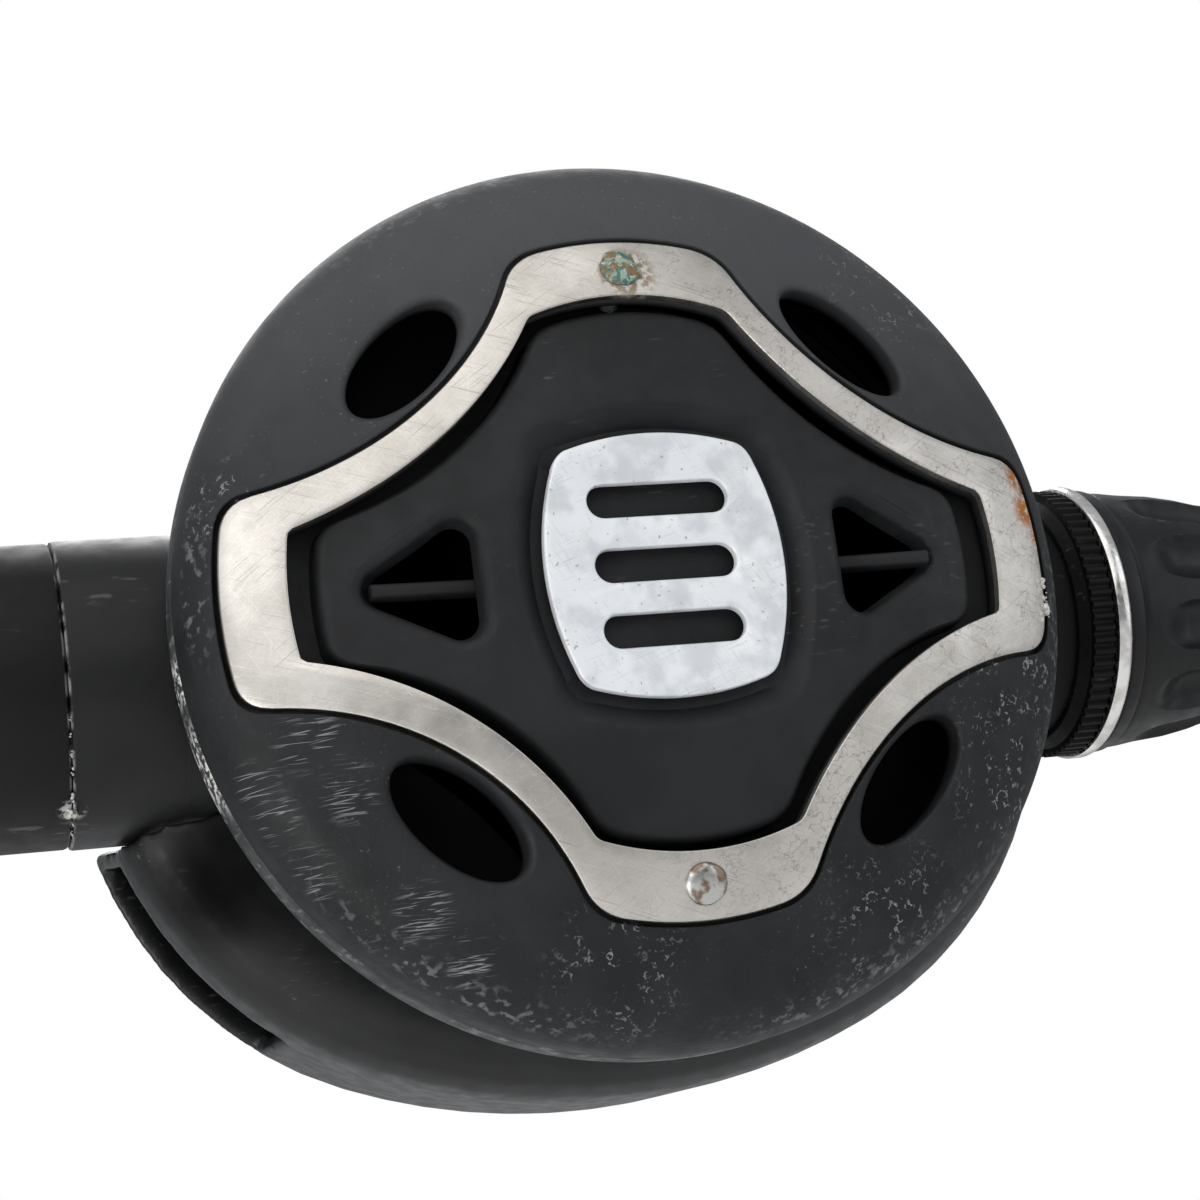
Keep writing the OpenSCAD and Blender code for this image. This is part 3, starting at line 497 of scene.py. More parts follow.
def cover_plastic():
    """Matte charcoal plastic, scuffed pale where it has been knocked, with painted light making it paler
    towards the top and painted shade inside its openings
    """
    look = Look("cover_plastic", 0.6)
    cloud = look.patches(6.0, 4.0, 0.3, 0.7)
    tone = look.mix(cloud, (0.009, 0.0095, 0.0102), (0.0155, 0.0162, 0.0172))
    # Painted light: the face is painted paler towards the top, as if lit from above
    tone = look.mix(look.between(look.apart("Z"), -8.0, 34.0, 0, 0.8), tone, (0.075, 0.077, 0.082))
    fleck = look.patches(0.34, 2.0, 0.66, 0.74, shift=2.0)
    dusty = look.patches(10.0, 2.0, 0.44, 0.62, 0.02, 0.4, shift=9.0)
    # Strokes: short, nearly level ones at the lower left, small curled ones elsewhere
    level = look.total(look.strokes(6, 3.0, 0.15, 0.585, 0.64), look.strokes(-3, 3.6, 0.12, 0.6, 0.65, 4.0))
    clusters = [(-26, -15.3, 2.8), (-31.5, -16.3, 2.4), (-29.6, -21, 3.0), (-21.3, -24.6, 2.8),
                (-26, -27, 2.0), (-28.6, -11, 3.2), (-32.6, -13.6, 2.2), (-18, -28.6, 2.4)]
    lower_left = look.total(*[look.near((x, y, 8), r * 0.2, r) for x, y, r in clusters])
    broken = look.patches(1.0, 1.0, 0.42, 0.5, stretch=(2.5, 0, 0.8), shift=3.0)
    low_left = look.times(lower_left, look.times(level, broken))
    worm = look.math("ABSOLUTE", look.math("SUBTRACT", look.noise(0.8, 4.0, shift=11.0), 0.5))
    curled = look.times(look.between(worm, 0.045, 0.01), look.patches(0.6, 2.0, 0.5, 0.57, shift=5.0))
    foot = look.spots((-7, -30.5, 1, 7), (16, -29, 1, 8), (29, -11, 2, 8), (28, -20, 1, 8), (24, 24, 1, 8),
                      (-33, 8, 1, 5))
    low = look.times(foot, look.times(curled, look.patches(2.4, 2.0, 0.46, 0.56, shift=13.0)))
    # The rim: a pale worn edge, stronger below and at the upper left
    flat = look.vector("MULTIPLY", look.place, (1, 0, 1))
    radius = look.vector("DISTANCE", flat, (0, 0, AXIS_Z / MM))
    worn = look.times(look.between(radius, COVER_R - 3.2, COVER_R - 0.7),
                      look.patches(0.8, 4.0, 0.53, 0.66, shift=4.0))
    where = look.spots((-20, -31, 3, 18), (16, -33, 4, 20), (-14, 34, 2, 16), (36, -8, 2, 14), (-36, 2, 1, 8))
    rim = look.times(worn, look.times(where, 0.6))
    marks = look.total(low_left, low, rim, look.times(fleck, dusty))
    marks = look.times(marks, look.facing())
    tone = look.mix(marks, tone, (0.21, 0.215, 0.22))
    # Painted shade: the face is nearly a ball's, and the insides of the openings, below it, are painted near
    # black and without sheen
    ball = (0, SEAM_Y / MM - CROWN_W, AXIS_Z / MM)
    inside = look.times(look.between(look.vector("DISTANCE", look.place, ball), CROWN_R - 1.2, CROWN_R - 2.8),
                        look.between(radius, COVER_R - 2.0, COVER_R - 5.0))
    tone = look.mix(inside, tone, (0.001, 0.001, 0.001))
    look.put(look.shader.inputs["Specular IOR Level"], look.between(inside, 0, 1, 0.25, 0.0))
    roughness = look.patches(2.2, 3.0, 0.3, 0.7, 0.5, 0.64, shift=1.0)
    relief = look.bump(look.noise(0.42, 4.0), 0.05)
    relief = look.bump(marks, -0.02, relief)
    return look.finish(tone, roughness, relief)


def rim_plastic():
    """The case's rim: rubbed grey, with salt by the tube"""
    look = Look("case_rim", 0.5, specular=0.35)
    tone = look.mix(look.patches(3.0, 4.0, 0.35, 0.65), (0.024, 0.025, 0.0265), (0.05, 0.051, 0.052))
    rubbed = look.times(look.patches(0.6, 3.0, 0.55, 0.68, stretch=(3, 3, 1), shift=3.0), 0.7)
    tone = look.mix(rubbed, tone, (0.16, 0.165, 0.165))
    salt = look.times(look.spots((-37, -4.0, 0.6, 2.6), (-35.4, -11, 1, 5)),
                      look.patches(0.7, 4.0, 0.47, 0.56, shift=6.0))
    tone = look.mix(salt, tone, (0.62, 0.62, 0.6))
    relief = look.bump(look.noise(0.5, 4.0), 0.03)
    return look.finish(tone, look.patches(1.0, 3.0, 0.3, 0.7, 0.42, 0.62), look.bump(salt, 0.1, relief))


def trim_steel():
    """Stainless steel, smoother at the left, scribbled with fine marks at the right, with rust at its right
    end and a stain round the top screw"""
    look = Look("trim_steel", 0.3, metal=1.0)
    right = look.between(look.apart("X"), -14.0, 16.0)
    cloud = look.patches(5.0, 3.0, 0.3, 0.7)
    tone = look.mix(cloud, (0.61, 0.575, 0.535), (0.5, 0.47, 0.43))
    turns = (15, 48, 82, 120, 161)
    fine = look.total(*[look.strokes(turn, 3.5, 0.05, 0.64, 0.7, turn * 0.13) for turn in turns])
    curl = look.math("ABSOLUTE", look.math("SUBTRACT", look.noise(1.0, 3.0, shift=6.0), 0.5))
    scribble = look.times(look.between(curl, 0.024, 0.0), look.patches(3.0, 1.0, 0.36, 0.55, shift=8.0))
    scribble = look.times(scribble, look.between(right, 0.0, 1.0, 0.12, 0.6))
    deep = look.total(look.strokes(35, 6.0, 0.08, 0.68, 0.73, 3.0),
                      look.strokes(-22, 5.0, 0.07, 0.68, 0.73, 9.0))
    tone = look.mix(look.times(fine, 0.25), tone, (0.84, 0.82, 0.78))
    tone = look.mix(look.total(look.times(deep, 0.45), scribble), tone, (0.22, 0.2, 0.18))
    lumps = look.patches(0.5, 4.0, 0.34, 0.5, shift=1.5)
    rust = look.times(look.spots((33.9, 3.8, 0.9, 2.2), (33.0, 6.6, 0.4, 1.5), (34.3, 1.4, 0.3, 1.2)), lumps)
    crusty = look.times(look.spots((34.0, 5.6, 0.4, 1.0), (32.9, 8.0, 0.4, 1.0), (34.5, 2.8, 0.3, 0.8)),
                        look.patches(0.4, 3.0, 0.4, 0.55, shift=3.0))
    stain = look.times(look.near((0.5, SCREW_OUT - 0.4, 9), 1.5, 2.9),
                       look.patches(0.6, 4.0, 0.42, 0.6, 0, 0.9, shift=8.0))
    salt = look.times(look.spots((34.2, -2.5, 0.3, 1.5), (33.9, -5.5, 0.3, 1.4), (34.2, 1.0, 0.2, 1.1)),
                      look.patches(0.45, 3.0, 0.5, 0.58, shift=12.0))
    tone = look.mix(rust, tone, (0.36, 0.12, 0.02))
    tone = look.mix(crusty, tone, (0.03, 0.016, 0.008))
    tone = look.mix(stain, tone, (0.22, 0.15, 0.075))
    tone = look.mix(salt, tone, (0.66, 0.64, 0.58))
    dull = look.total(rust, crusty, stain, salt)
    roughness = look.math("ADD", look.patches(3.0, 3.0, 0.3, 0.7, 0.29, 0.4, shift=3.0),
                          look.total(look.times(dull, 0.4), look.times(right, 0.12)))
    relief = look.bump(look.noise(11.0, 2.0, shift=2.0), 0.1)
    relief = look.bump(look.total(deep, scribble), -0.006, relief)
    relief = look.bump(dull, 0.06, relief)
    return look.finish(tone, roughness, relief, look.math("SUBTRACT", 1.0, dull))


def corroded_brass():
    """A screw head under green and brown corrosion"""
    look = Look("corroded_screw", 0.7, metal=0.0)
    tone = look.mix(look.patches(0.7, 4.0, 0.42, 0.58), (0.05, 0.15, 0.13), (0.30, 0.38, 0.31))
    tone = look.mix(look.patches(0.9, 3.0, 0.5, 0.6, shift=4.0), tone, (0.21, 0.13, 0.06))
    tone = look.mix(look.patches(0.4, 3.0, 0.58, 0.66, shift=9.0), tone, (0.55, 0.5, 0.38))
    relief = look.bump(look.noise(0.45, 4.0), 0.25)
    return look.finish(tone, 0.75, relief)


def screw_steel():
    """A worn bright screw head, browned in its middle"""
    look = Look("screw_steel", 0.2, metal=1.0)
    tone = look.mix(look.patches(1.1, 3.0, 0.45, 0.6), (0.5, 0.5, 0.48), (0.22, 0.16, 0.12))
    return look.finish(tone, look.patches(0.5, 3.0, 0.3, 0.7, 0.2, 0.4), look.bump(look.noise(0.7), 0.015))


def emblem_metal():
    """Pale satin plate with faint grey wear"""
    look = Look("emblem_metal", 0.45, metal=0.2)
    tone = look.mix(look.patches(2.6, 4.0, 0.42, 0.66), (0.78, 0.8, 0.82), (0.62, 0.64, 0.66))
    marks = look.total(look.strokes(18, 2.5, 0.06, 0.63, 0.7, 1.0),
                       look.strokes(-60, 2.0, 0.06, 0.64, 0.7, 5.0))
    marks = look.times(marks, look.patches(2.5, 2.0, 0.45, 0.6, 0, 0.5, shift=8.0))
    tone = look.mix(marks, tone, (0.42, 0.44, 0.46))
    spots = look.patches(0.5, 2.0, 0.68, 0.74, shift=3.0)
    tone = look.mix(spots, tone, (0.45, 0.42, 0.38))
    return look.finish(tone, look.patches(1.2, 3.0, 0.3, 0.7, 0.34, 0.5), look.bump(marks, -0.006))


def tube_plastic(name, colour, rough):
    """Smooth dark plastic or rubber about the barrel, with salt along the seam between sleeve and tube, and
    painted shade in the hollow between the tube and the tee
    """
    look = Look(name, rough, specular=0.2)
    cloud = look.patches(8.0, 3.0, 0.3, 0.7)
    tone = look.mix(cloud, tuple(c * 0.85 for c in colour), tuple(c * 1.25 for c in colour))
    arcs = look.times(look.patches(1.0, 4.0, 0.6, 0.7, stretch=(3.5, 1, 1.2), shift=2.0),
                      look.patches(8.0, 2.0, 0.52, 0.66, 0, 0.35, shift=6.0))
    tone = look.mix(arcs, tone, (0.16, 0.165, 0.165))
    off = look.math("ABSOLUTE", look.math("SUBTRACT", look.apart("X"), sleeve_hi.x / MM + 0.05))
    line = look.times(look.between(off, 0.3, 0.05), look.patches(1.6, 4.0, 0.42, 0.58, 0, 0.4, shift=5.0))
    clump = look.times(look.near((-45.0, -11.8, -10.2), 0.3, 1.4, False),
                       look.patches(0.9, 4.0, 0.45, 0.55, shift=7.0))
    salt = look.total(line, clump)
    # Painted shade in the hollow between the tube and the tee, under the salt
    tone = look.mix(salt, look.painted_shade_under_tube(tone, 0.2), (0.62, 0.62, 0.6))
    roughness = look.math("ADD", look.patches(2.0, 3.0, 0.3, 0.7, rough - 0.05, rough + 0.06),
                          look.times(salt, 0.3))
    relief = look.bump(look.noise(0.2, 3.0), 0.006)
    relief = look.bump(salt, 0.12, relief)
    return look.finish(tone, roughness, relief)


def knob_chrome():
    """Bright ring, rubbed dull in places"""
    look = Look("ring_chrome", 0.16, metal=1.0)
    tone = look.mix(look.patches(2.0, 4.0, 0.4, 0.65), (0.78, 0.765, 0.74), (0.55, 0.53, 0.5))
    roughness = look.patches(0.6, 4.0, 0.35, 0.65, 0.12, 0.34)
    return look.finish(tone, roughness, look.bump(look.noise(0.35, 3.0, (0.3, 3, 3)), 0.008))


# Moulded slots: colour, roughness, grain's size and depth, wear, specular, whether painted shade darkens it in
# the hollow under the tube
MOULDED = {
    "button_rubber": ((0.012, 0.0126, 0.0135), 0.56, 0.34, 0.035, 0.2, 0.25),
    "membrane": ((0.012, 0.012, 0.013), 0.6, 0.5, 0.01, 0.0, 0.15),
    "disc_plastic": ((0.68, 0.66, 0.6), 0.4, 0.4, 0.006),
    "seal_rubber": ((0.012, 0.012, 0.012), 0.36),
    "poppet_plastic": ((0.27, 0.29, 0.31), 0.4),
    "seat_rubber": ((0.5, 0.06, 0.04), 0.45),
    "flow_lever_plastic": ((0.005, 0.005, 0.0052), 0.55, 0.3, 0.01, 0.2, 0.15),
    "grip_rubber": ((0.007, 0.0072, 0.0076), 0.38, 0.18, 0.008, 0.2, 0.25),
    "tee_rubber": ((0.011, 0.0113, 0.0118), 0.38, 0.3, 0.008, 0.4, 0.3, True),
    "mouth_rubber": ((0.014, 0.014, 0.015), 0.36, 0.4, 0.006),
    "tie_plastic": ((0.012, 0.012, 0.012), 0.38, 0.4, 0.006),
}
LOOKS = {name: moulded(name, *values) for name, values in MOULDED.items()}
LOOKS.update({
    "case_plastic": tube_plastic("case_plastic", (0.0105, 0.0107, 0.0112), 0.42),
    "cover_plastic": cover_plastic(),
    "trim_steel": trim_steel(),
    "screw_steel": screw_steel(),
    "emblem_metal": emblem_metal(),
    "spring_steel": metal("spring_steel", (0.62, 0.63, 0.64), 0.24, size=0.2),
    "barrel_chrome": metal("barrel_chrome", (0.74, 0.75, 0.76), 0.16, (0.2, 3, 3), 0.25),
    "ring_chrome": knob_chrome(),
    "orifice_brass": metal("orifice_brass", (0.72, 0.54, 0.25), 0.24, (0.2, 3, 3), 0.25),
    "lever_steel": metal("lever_steel", (0.64, 0.65, 0.66), 0.26, (1, 4, 1), 0.2),
    "sleeve_rubber": tube_plastic("sleeve_rubber", (0.0055, 0.0053, 0.005), 0.5),
})


def dress(piece, body, slot, *nodes, look=None):
    """Gives a new piece its finish and its body, and lets it stand for CAD nodes"""
    piece.data.materials.clear()
    piece.data.materials.append(look or LOOKS[slot])
    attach(piece, body)
    if nodes:
        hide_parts(*nodes)
    return piece


# ---- Front cover ----

def hole_cutter(turn):
    """Cutter for the water hole at an angle, flared at the face so that the hole's lip is round"""
    a = np.arange(96) * 2 * math.pi / 96
    long_way = np.array([-math.sin(turn), math.cos(turn)])
    out_way = np.array([math.cos(turn), math.sin(turn)])
    lip = 0.8
    cross = math.sin(math.radians(76))
    rings = []

    def ring(grow, height, level=None):
        flat = (HOLE_OUT * out_way + np.outer((HOLE_SIZE[1] / 2 + grow) * np.cos(a), out_way)
                + np.outer((HOLE_SIZE[0] / 2 + grow) * np.sin(a), long_way))
        w = face_height(np.hypot(flat[:, 0], flat[:, 1])) + height if level is None else np.full(96, level)
        rings.append(from_cover(np.column_stack([flat, w])))

    ring(0, 0, -1.0)
    ring(0, 0, 3.0)
    for lean in np.radians(np.linspace(0, 90, 9)):
        ring(lip * (1 - math.cos(lean)), lip * (math.sin(lean) - cross))
    ring(lip * 1.02, 4.0)
    return loft(rings)


def front_cover():
    lip, well = lobed(TRIM_INNER), lobed(TRIM_INNER, WELL_GAP)
    well_back = lobed(TRIM_INNER, WELL_GAP + WELL_T)
    recess = lobed(TRIM_OUTER, TRIM_GAP)
    edge = 0.28
    rings = []
    for t in (0, 0.35, 0.7, 1):
        r = lip + (recess - lip) * t
        rings.append(polar(r, face_height(r, TRIM_LOW + TRIM_T)))
    for lean in np.radians((0, 30, 60, 90)):
        r = recess + edge * (1 - math.cos(lean))
        rings.append(polar(r, face_height(r) - edge * (1 - math.sin(lean))))
    start, stop = face_run(recess + edge), face_run(COVER_R)
    for t in np.linspace(0, 1, 31)[1:]:
        rings.append(polar(*face_at(start + (stop - start) * t)))
    for lean in np.radians((0, 30, 60, 90)):
        rings.append(polar(COVER_R - 0.3 * (1 - math.cos(lean)), 0.3 * (1 - math.sin(lean))))
    inside = [(SPIGOT_R, 0), (SPIGOT_R, SPIGOT_LOW), (SPIGOT_IN, SPIGOT_LOW),
              (SPIGOT_IN, float(face_height(SPIGOT_IN, COVER_T)))]
    rings += [polar(r, w) for r, w in inside]
    for t in (0.3, 0.6, 1):
        r = SPIGOT_IN + (well_back - SPIGOT_IN) * t
        rings.append(polar(r, face_height(r, COVER_T)))
    rings += [polar(well_back, FLOOR_LOW), polar(BUSH_R, FLOOR_LOW), polar(BUSH_R, FLOOR_TOP + COLLAR_H),
              polar(COLLAR_R, FLOOR_TOP + COLLAR_H), polar(COLLAR_R, FLOOR_TOP), polar(well, FLOOR_TOP),
              polar(well, face_height(well, COVER_T)), polar(lip, face_height(lip, COVER_T))]
    piece = make_in_cover("cover_shell", rings, closed=True)
    holes = [hole_cutter(math.radians(a)) for a in (45, 135, 225, 315)]
    for a in (20, 70, 110, 160, 200, 250, 290, 340):
        spot = FLOOR_HOLE_OUT * np.array([math.cos(math.radians(a)), math.sin(math.radians(a))])
        flat = spot + arc((0, 0), FLOOR_HOLE_R, 0, 2 * math.pi, 33)[:-1]
        ends = (0.2, FLOOR_TOP + 0.3)
        holes.append(loft([from_cover(np.column_stack([flat, np.full(32, w)])) for w in ends]))
    cut(piece, make("holes", join(*holes)))
    return dress(piece, "case", "cover_plastic", "front_cover", "cover_well")


# ---- Case ----

def case_and_rim():
    """The case with its moulded fillets, and the band of its rim that shows below the cover's seam"""
    piece = soften("case", "case_body", 0.5, 3)
    mesh = piece.data
    points = np.empty(len(mesh.vertices) * 3)
    mesh.vertices.foreach_get("co", points)
    points = points.reshape(-1, 3)
    x, up, w = points[:, 0] / MM, (points[:, 2] - AXIS_Z) / MM, (SEAM_Y - points[:, 1]) / MM
    radius = np.hypot(x, up)
    rim = (radius > 34.2) & (radius < COVER_R + 0.6) & (w > -3.7)
    w = np.where(rim, np.minimum(w, -1.1), w)
    pull = np.where(rim & (radius > COVER_R - 0.3), (COVER_R - 0.3) / radius, 1.0)
    points = from_cover(np.stack([x * pull, up * pull, w], 1))
    # The tube's end stands back behind the clean tube that is laid over it
    tube_x, tube_r = -36.6, 12.2
    off = np.hypot(points[:, 1] - BARREL_Y, points[:, 2] - BARREL_Z) / MM
    tube = (x < tube_x) & (off > tube_r)
    shrink = np.where(tube, tube_r / off, 1.0)
    points[:, 1] = BARREL_Y + (points[:, 1] - BARREL_Y) * shrink
    points[:, 2] = BARREL_Z + (points[:, 2] - BARREL_Z) * shrink
    points[:, 0] = np.where(tube, np.maximum(points[:, 0], (sleeve_hi.x / MM + 0.5) * MM), points[:, 0])
    mesh.vertices.foreach_set("co", points.ravel())
    mesh.update()
    dress(piece, "case", "case_plastic", "case_body")
    edge = [(0.7, -0.62), (0.35, -0.7), (0.1, -0.9), (0, -1.2), (-0.04, -2.4), (-0.04, -3.4), (0.1, -3.8),
            (0.5, -4.0)]
    profile = [(RIM_IN, -0.62), *((COVER_R - inset, w) for inset, w in edge), (RIM_IN, -4.0)]
    band = make_in_cover("case_rim", [polar(r, w) for r, w in profile], 40, closed=True)
    dress(band, "case", "case_plastic", look=rim_plastic())
    outer = (sleeve_hi.y - sleeve_lo.y) / 2 / MM + 0.12
    end = sleeve_hi.x / MM + 0.1
    inner, root = 11.9, -36
    profile = [(inner, root), (outer, root), (outer, end + 0.25), (outer - 0.06, end + 0.08),
               (outer - 0.22, end), (inner, end)]
    dress(make_about_barrel("case_tube", profile, 40), "case", "case_plastic")


# ---- Trim plate and screws ----

def trim_plate():
    """Plate between two lobed outlines on the cover's face, with rubbed edges"""
    outer, inner = lobed(TRIM_OUTER), lobed(TRIM_INNER)
    edge = 0.16
    rings = []
    for lean in np.radians((0, 30, 60, 90)):
        r = outer - edge * (1 - math.cos(lean))
        rings.append(polar(r, face_height(r, TRIM_LOW) - edge * (1 - math.sin(lean))))
    for t in (0.2, 0.4, 0.6, 0.8):
        r = outer - edge + (inner - outer + 2 * edge) * t
        rings.append(polar(r, face_height(r, TRIM_LOW)))
    for lean in np.radians((90, 60, 30, 0)):
        r = inner + edge * (1 - math.cos(lean))
        rings.append(polar(r, face_height(r, TRIM_LOW) - edge * (1 - math.sin(lean))))
    back = TRIM_LOW + TRIM_T
    rings += [polar(inner, face_height(inner, back) + 0.02), polar(outer, face_height(outer, back) + 0.02)]
    return dress(make_in_cover("trim", rings, 40, closed=True), "case", "trim_steel", "trim_plate")


def screw_head(name, side, rough, look):
    """Domed head on the trim plate, worn or swollen by rough millimetres"""
    turn = np.arange(64) * 2 * math.pi / 64
    lean = math.asin(SCREW_OUT / CROWN_R) * side
    normal = Vector((0, math.sin(lean), math.cos(lean)))
    along = Vector((0, math.cos(lean), -math.sin(lean)))
    foot = Vector((0, side * SCREW_OUT, float(face_height(SCREW_OUT, TRIM_LOW))))
    profile = [(0.88, -4.5), (0.88, -0.3), (1.62, -0.02), (1.68, 0.08), (1.64, 0.2), (1.5, 0.33),
               (1.25, 0.46), (0.9, 0.56), (0.5, 0.62), (0.15, 0.64)]
    draw = np.random.default_rng(7 + side)
    waves = draw.uniform(0, 2 * math.pi, (6, 2))
    rings = []
    for r, h in profile:
        swell = sum(math.sin(1 + k) * np.cos((k + 2) * turn + waves[k, 0] + 3 * h + waves[k, 1])
                    for k in range(6))
        radius = r + (rough * swell * 0.35 if h > -0.1 else 0)
        height = h + (rough * 0.3 * np.cos(3 * turn + waves[0, 0]) * (r / 1.7) if h > 0 else 0 * turn)
        ring = [foot + Vector((1, 0, 0)) * (q * math.cos(t)) + along * (q * math.sin(t)) + normal * z
                for q, t, z in zip(np.broadcast_to(radius, 64), turn, np.broadcast_to(height, 64))]
        rings.append(from_cover([tuple(v) for v in ring]))
    return dress(make(name, loft(rings), 50), "case", "screw_steel", "trim_screws", look=look)


# ---- Purge button and emblem ----

def pointer_ring(side, grow, scale, height, level=None):
    """Rounded triangle of a window, pointing outwards, about its place on the button"""
    length, half, corner = 4.4, 2.5, 1.35
    lean = math.atan2(length, half)
    outline = np.concatenate([arc((length, 0), corner + grow, -lean, lean, 14),
                              arc((0, half), corner + grow, lean, math.pi, 12),
                              arc((0, -half), corner + grow, math.pi, 2 * math.pi - lean, 12)]) * scale
    outline[:, 0] = side * (WINDOW_X + outline[:, 0])
    if level is None:
        w = face_height(np.hypot(outline[:, 0], outline[:, 1]), BUTTON_SET) + height
    else:
        w = np.full(len(outline), level)
    return from_cover(np.column_stack([outline, w]))


def window_cutter(side):
    """Cutter for a window, narrow below and flared at the face"""
    rings = [pointer_ring(side, -0.1, 1.0, 0, 4.0), pointer_ring(side, -0.1, 1.04, 0, 6.2),
             pointer_ring(side, -0.1, 1.22, -1.3)]
    for lean in np.radians(np.linspace(0, 90, 7)):
        rings.append(pointer_ring(side, -0.1 + 1.0 * (1 - math.cos(lean)), 1.26,
                                  1.0 * (math.sin(lean) - 0.97)))
    rings.append(pointer_ring(side, 0.95, 1.26, 4.0))
    return loft(rings)


def rib(side):
    """Rounded rib across a window"""
    turn = np.arange(20) * 2 * math.pi / 20
    rings = []
    for x in np.linspace(-4.4, 4.4, 9):
        y = np.sign(np.cos(turn)) * 0.6 * np.abs(np.cos(turn)) ** 0.5 - 0.2
        w = np.sign(np.sin(turn)) * 1.05 * np.abs(np.sin(turn)) ** 0.6 + 7.7 + 0.04 * (x + 4.4)
        rings.append(from_cover(np.column_stack([np.full(20, side * (WINDOW_X + 2.2 + x)), y, w])))
    return loft(rings)


def purge_button():
    edge, skirt = lobed(BUTTON_EDGE), lobed(BUTTON_EDGE, -SKIRT_T)
    flange = lobed(TRIM_INNER, FLANGE_OUT)
    round_r, rise = 0.9, 0.5
    # From the middle of the emblem's recess, up its slope, over the face and down the skirt
    pit, bed, deep = emblem_edge(-1.1), emblem_edge(-0.25), EMBLEM_LOW - 0.7
    rings = [polar(pit * t, EMBLEM_LOW - 0.85) for t in (0.15, 0.6, 1)]
    foot, slope = emblem_edge(0.75), emblem_edge(2.3)
    rings += [polar(pit, EMBLEM_LOW), polar(bed, EMBLEM_LOW), polar(bed, deep), polar(foot, deep)]
    top = face_height(slope, BUTTON_SET) - 0.12
    for t in (0.1, 0.35, 0.65, 0.95):
        rings.append(polar(foot + (slope - foot) * t, deep + (top - deep) * t))
    for grow, drop in ((2.45, 0.05), (2.65, 0.012), (2.95, 0)):
        r = emblem_edge(grow)
        rings.append(polar(r, face_height(r, BUTTON_SET) - drop))
    slope = emblem_edge(2.95)
    for t in np.linspace(0.2, 0.9, 7):
        r = slope + (edge - round_r - slope) * t
        rings.append(polar(r, face_height(r, BUTTON_SET)))
    for lean in np.radians((90, 72, 54, 36, 18, 0)):
        r = edge - round_r * (1 - math.cos(lean))
        rings.append(polar(r, face_height(edge - round_r, BUTTON_SET) - round_r * (1 - math.sin(lean)) * 1.1))
    rings += [polar(edge, FLANGE_LOW + FLANGE_T + rise), polar(edge + 0.2, FLANGE_LOW + FLANGE_T + 0.1),
              polar(flange, FLANGE_LOW + FLANGE_T), polar(flange, FLANGE_LOW), polar(skirt, FLANGE_LOW)]
    under = BUTTON_SET + BUTTON_T
    rings.append(polar(skirt, face_height(skirt, under)))
    rings += [polar(12.4, float(face_height(12.4, under))), polar(12.4, SPRING_TOP),
              polar(POST_R, SPRING_TOP), polar(POST_R, POST_LOW + 0.4), polar(POST_R - 0.4, POST_LOW),
              polar(0.4, POST_LOW)]
    piece = make_in_cover("button", rings)
    cut(piece, make("windows", join(window_cutter(-1), window_cutter(1))))
    ribs = make("button_ribs", join(rib(-1), rib(1)), 60)
    dress(ribs, "purge", "button_rubber")
    return dress(piece, "purge", "button_rubber", "purge_button")


def slot_cutter(middle):
    """Cutter for one slot of the emblem, flared at the top"""
    length, height, flare = 11.5, 2.7, 0.22
    reach = (length - height) / 2
    rings = []
    top = EMBLEM_LOW + EMBLEM_T
    for grow, w in ((0, EMBLEM_LOW - 0.5), (0, top - flare), (flare * 0.3, top - flare * 0.35),
                    (flare, top + 0.02), (flare, top + 1)):
        flat = np.concatenate([arc((reach, 0), height / 2 + grow, -math.pi / 2, math.pi / 2, 15),
                               arc((-reach, 0), height / 2 + grow, math.pi / 2, 3 * math.pi / 2, 15)])
        rings.append(from_cover(np.column_stack([flat[:, 0], flat[:, 1] + middle, np.full(len(flat), w)])))
    return loft(rings)


def emblem_plate():
    """Bowed square plate with three level slots"""
    top = EMBLEM_LOW + EMBLEM_T
    edge = 0.2
    rings = [polar(emblem_edge(-0.1) * 0.2, EMBLEM_LOW), polar(emblem_edge(), EMBLEM_LOW)]
    for lean in np.radians((0, 30, 60, 90)):
        rings.append(polar(emblem_edge(-edge * (1 - math.cos(lean))), top - edge * (1 - math.sin(lean))))
    rings += [polar(emblem_edge(-0.6), top - 0.015), polar(emblem_edge() * 0.4, top),
              polar(emblem_edge() * 0.1, top)]
    piece = make_in_cover("emblem", rings, 40)
    cut(piece, make("slots", join(*[slot_cutter(y) for y in EMBLEM_SLOTS])), 40)
    return dress(piece, "purge", "emblem_metal", "emblem_plate")


# ---- Knob ----

def knob_ring():
    lo, hi = ring_lo.x / MM, ring_hi.x / MM
    outer = (ring_hi.y - ring_lo.y) / 2 / MM
    inner = 10.95
    profile = [(inner, lo), (outer - 0.3, lo), (outer - 0.1, lo + 0.1), (outer, lo + 0.32),
               (outer, hi - 0.42), (outer - 0.08, hi - 0.2), (outer - 0.3, hi), (inner, hi)]
    return dress(make_about_barrel("bright_ring", profile, 30), "knob", "ring_chrome", "knob_ring")


def ease(value):
    t = np.clip(value, 0, 1)
    return t * t * (3 - 2 * t)


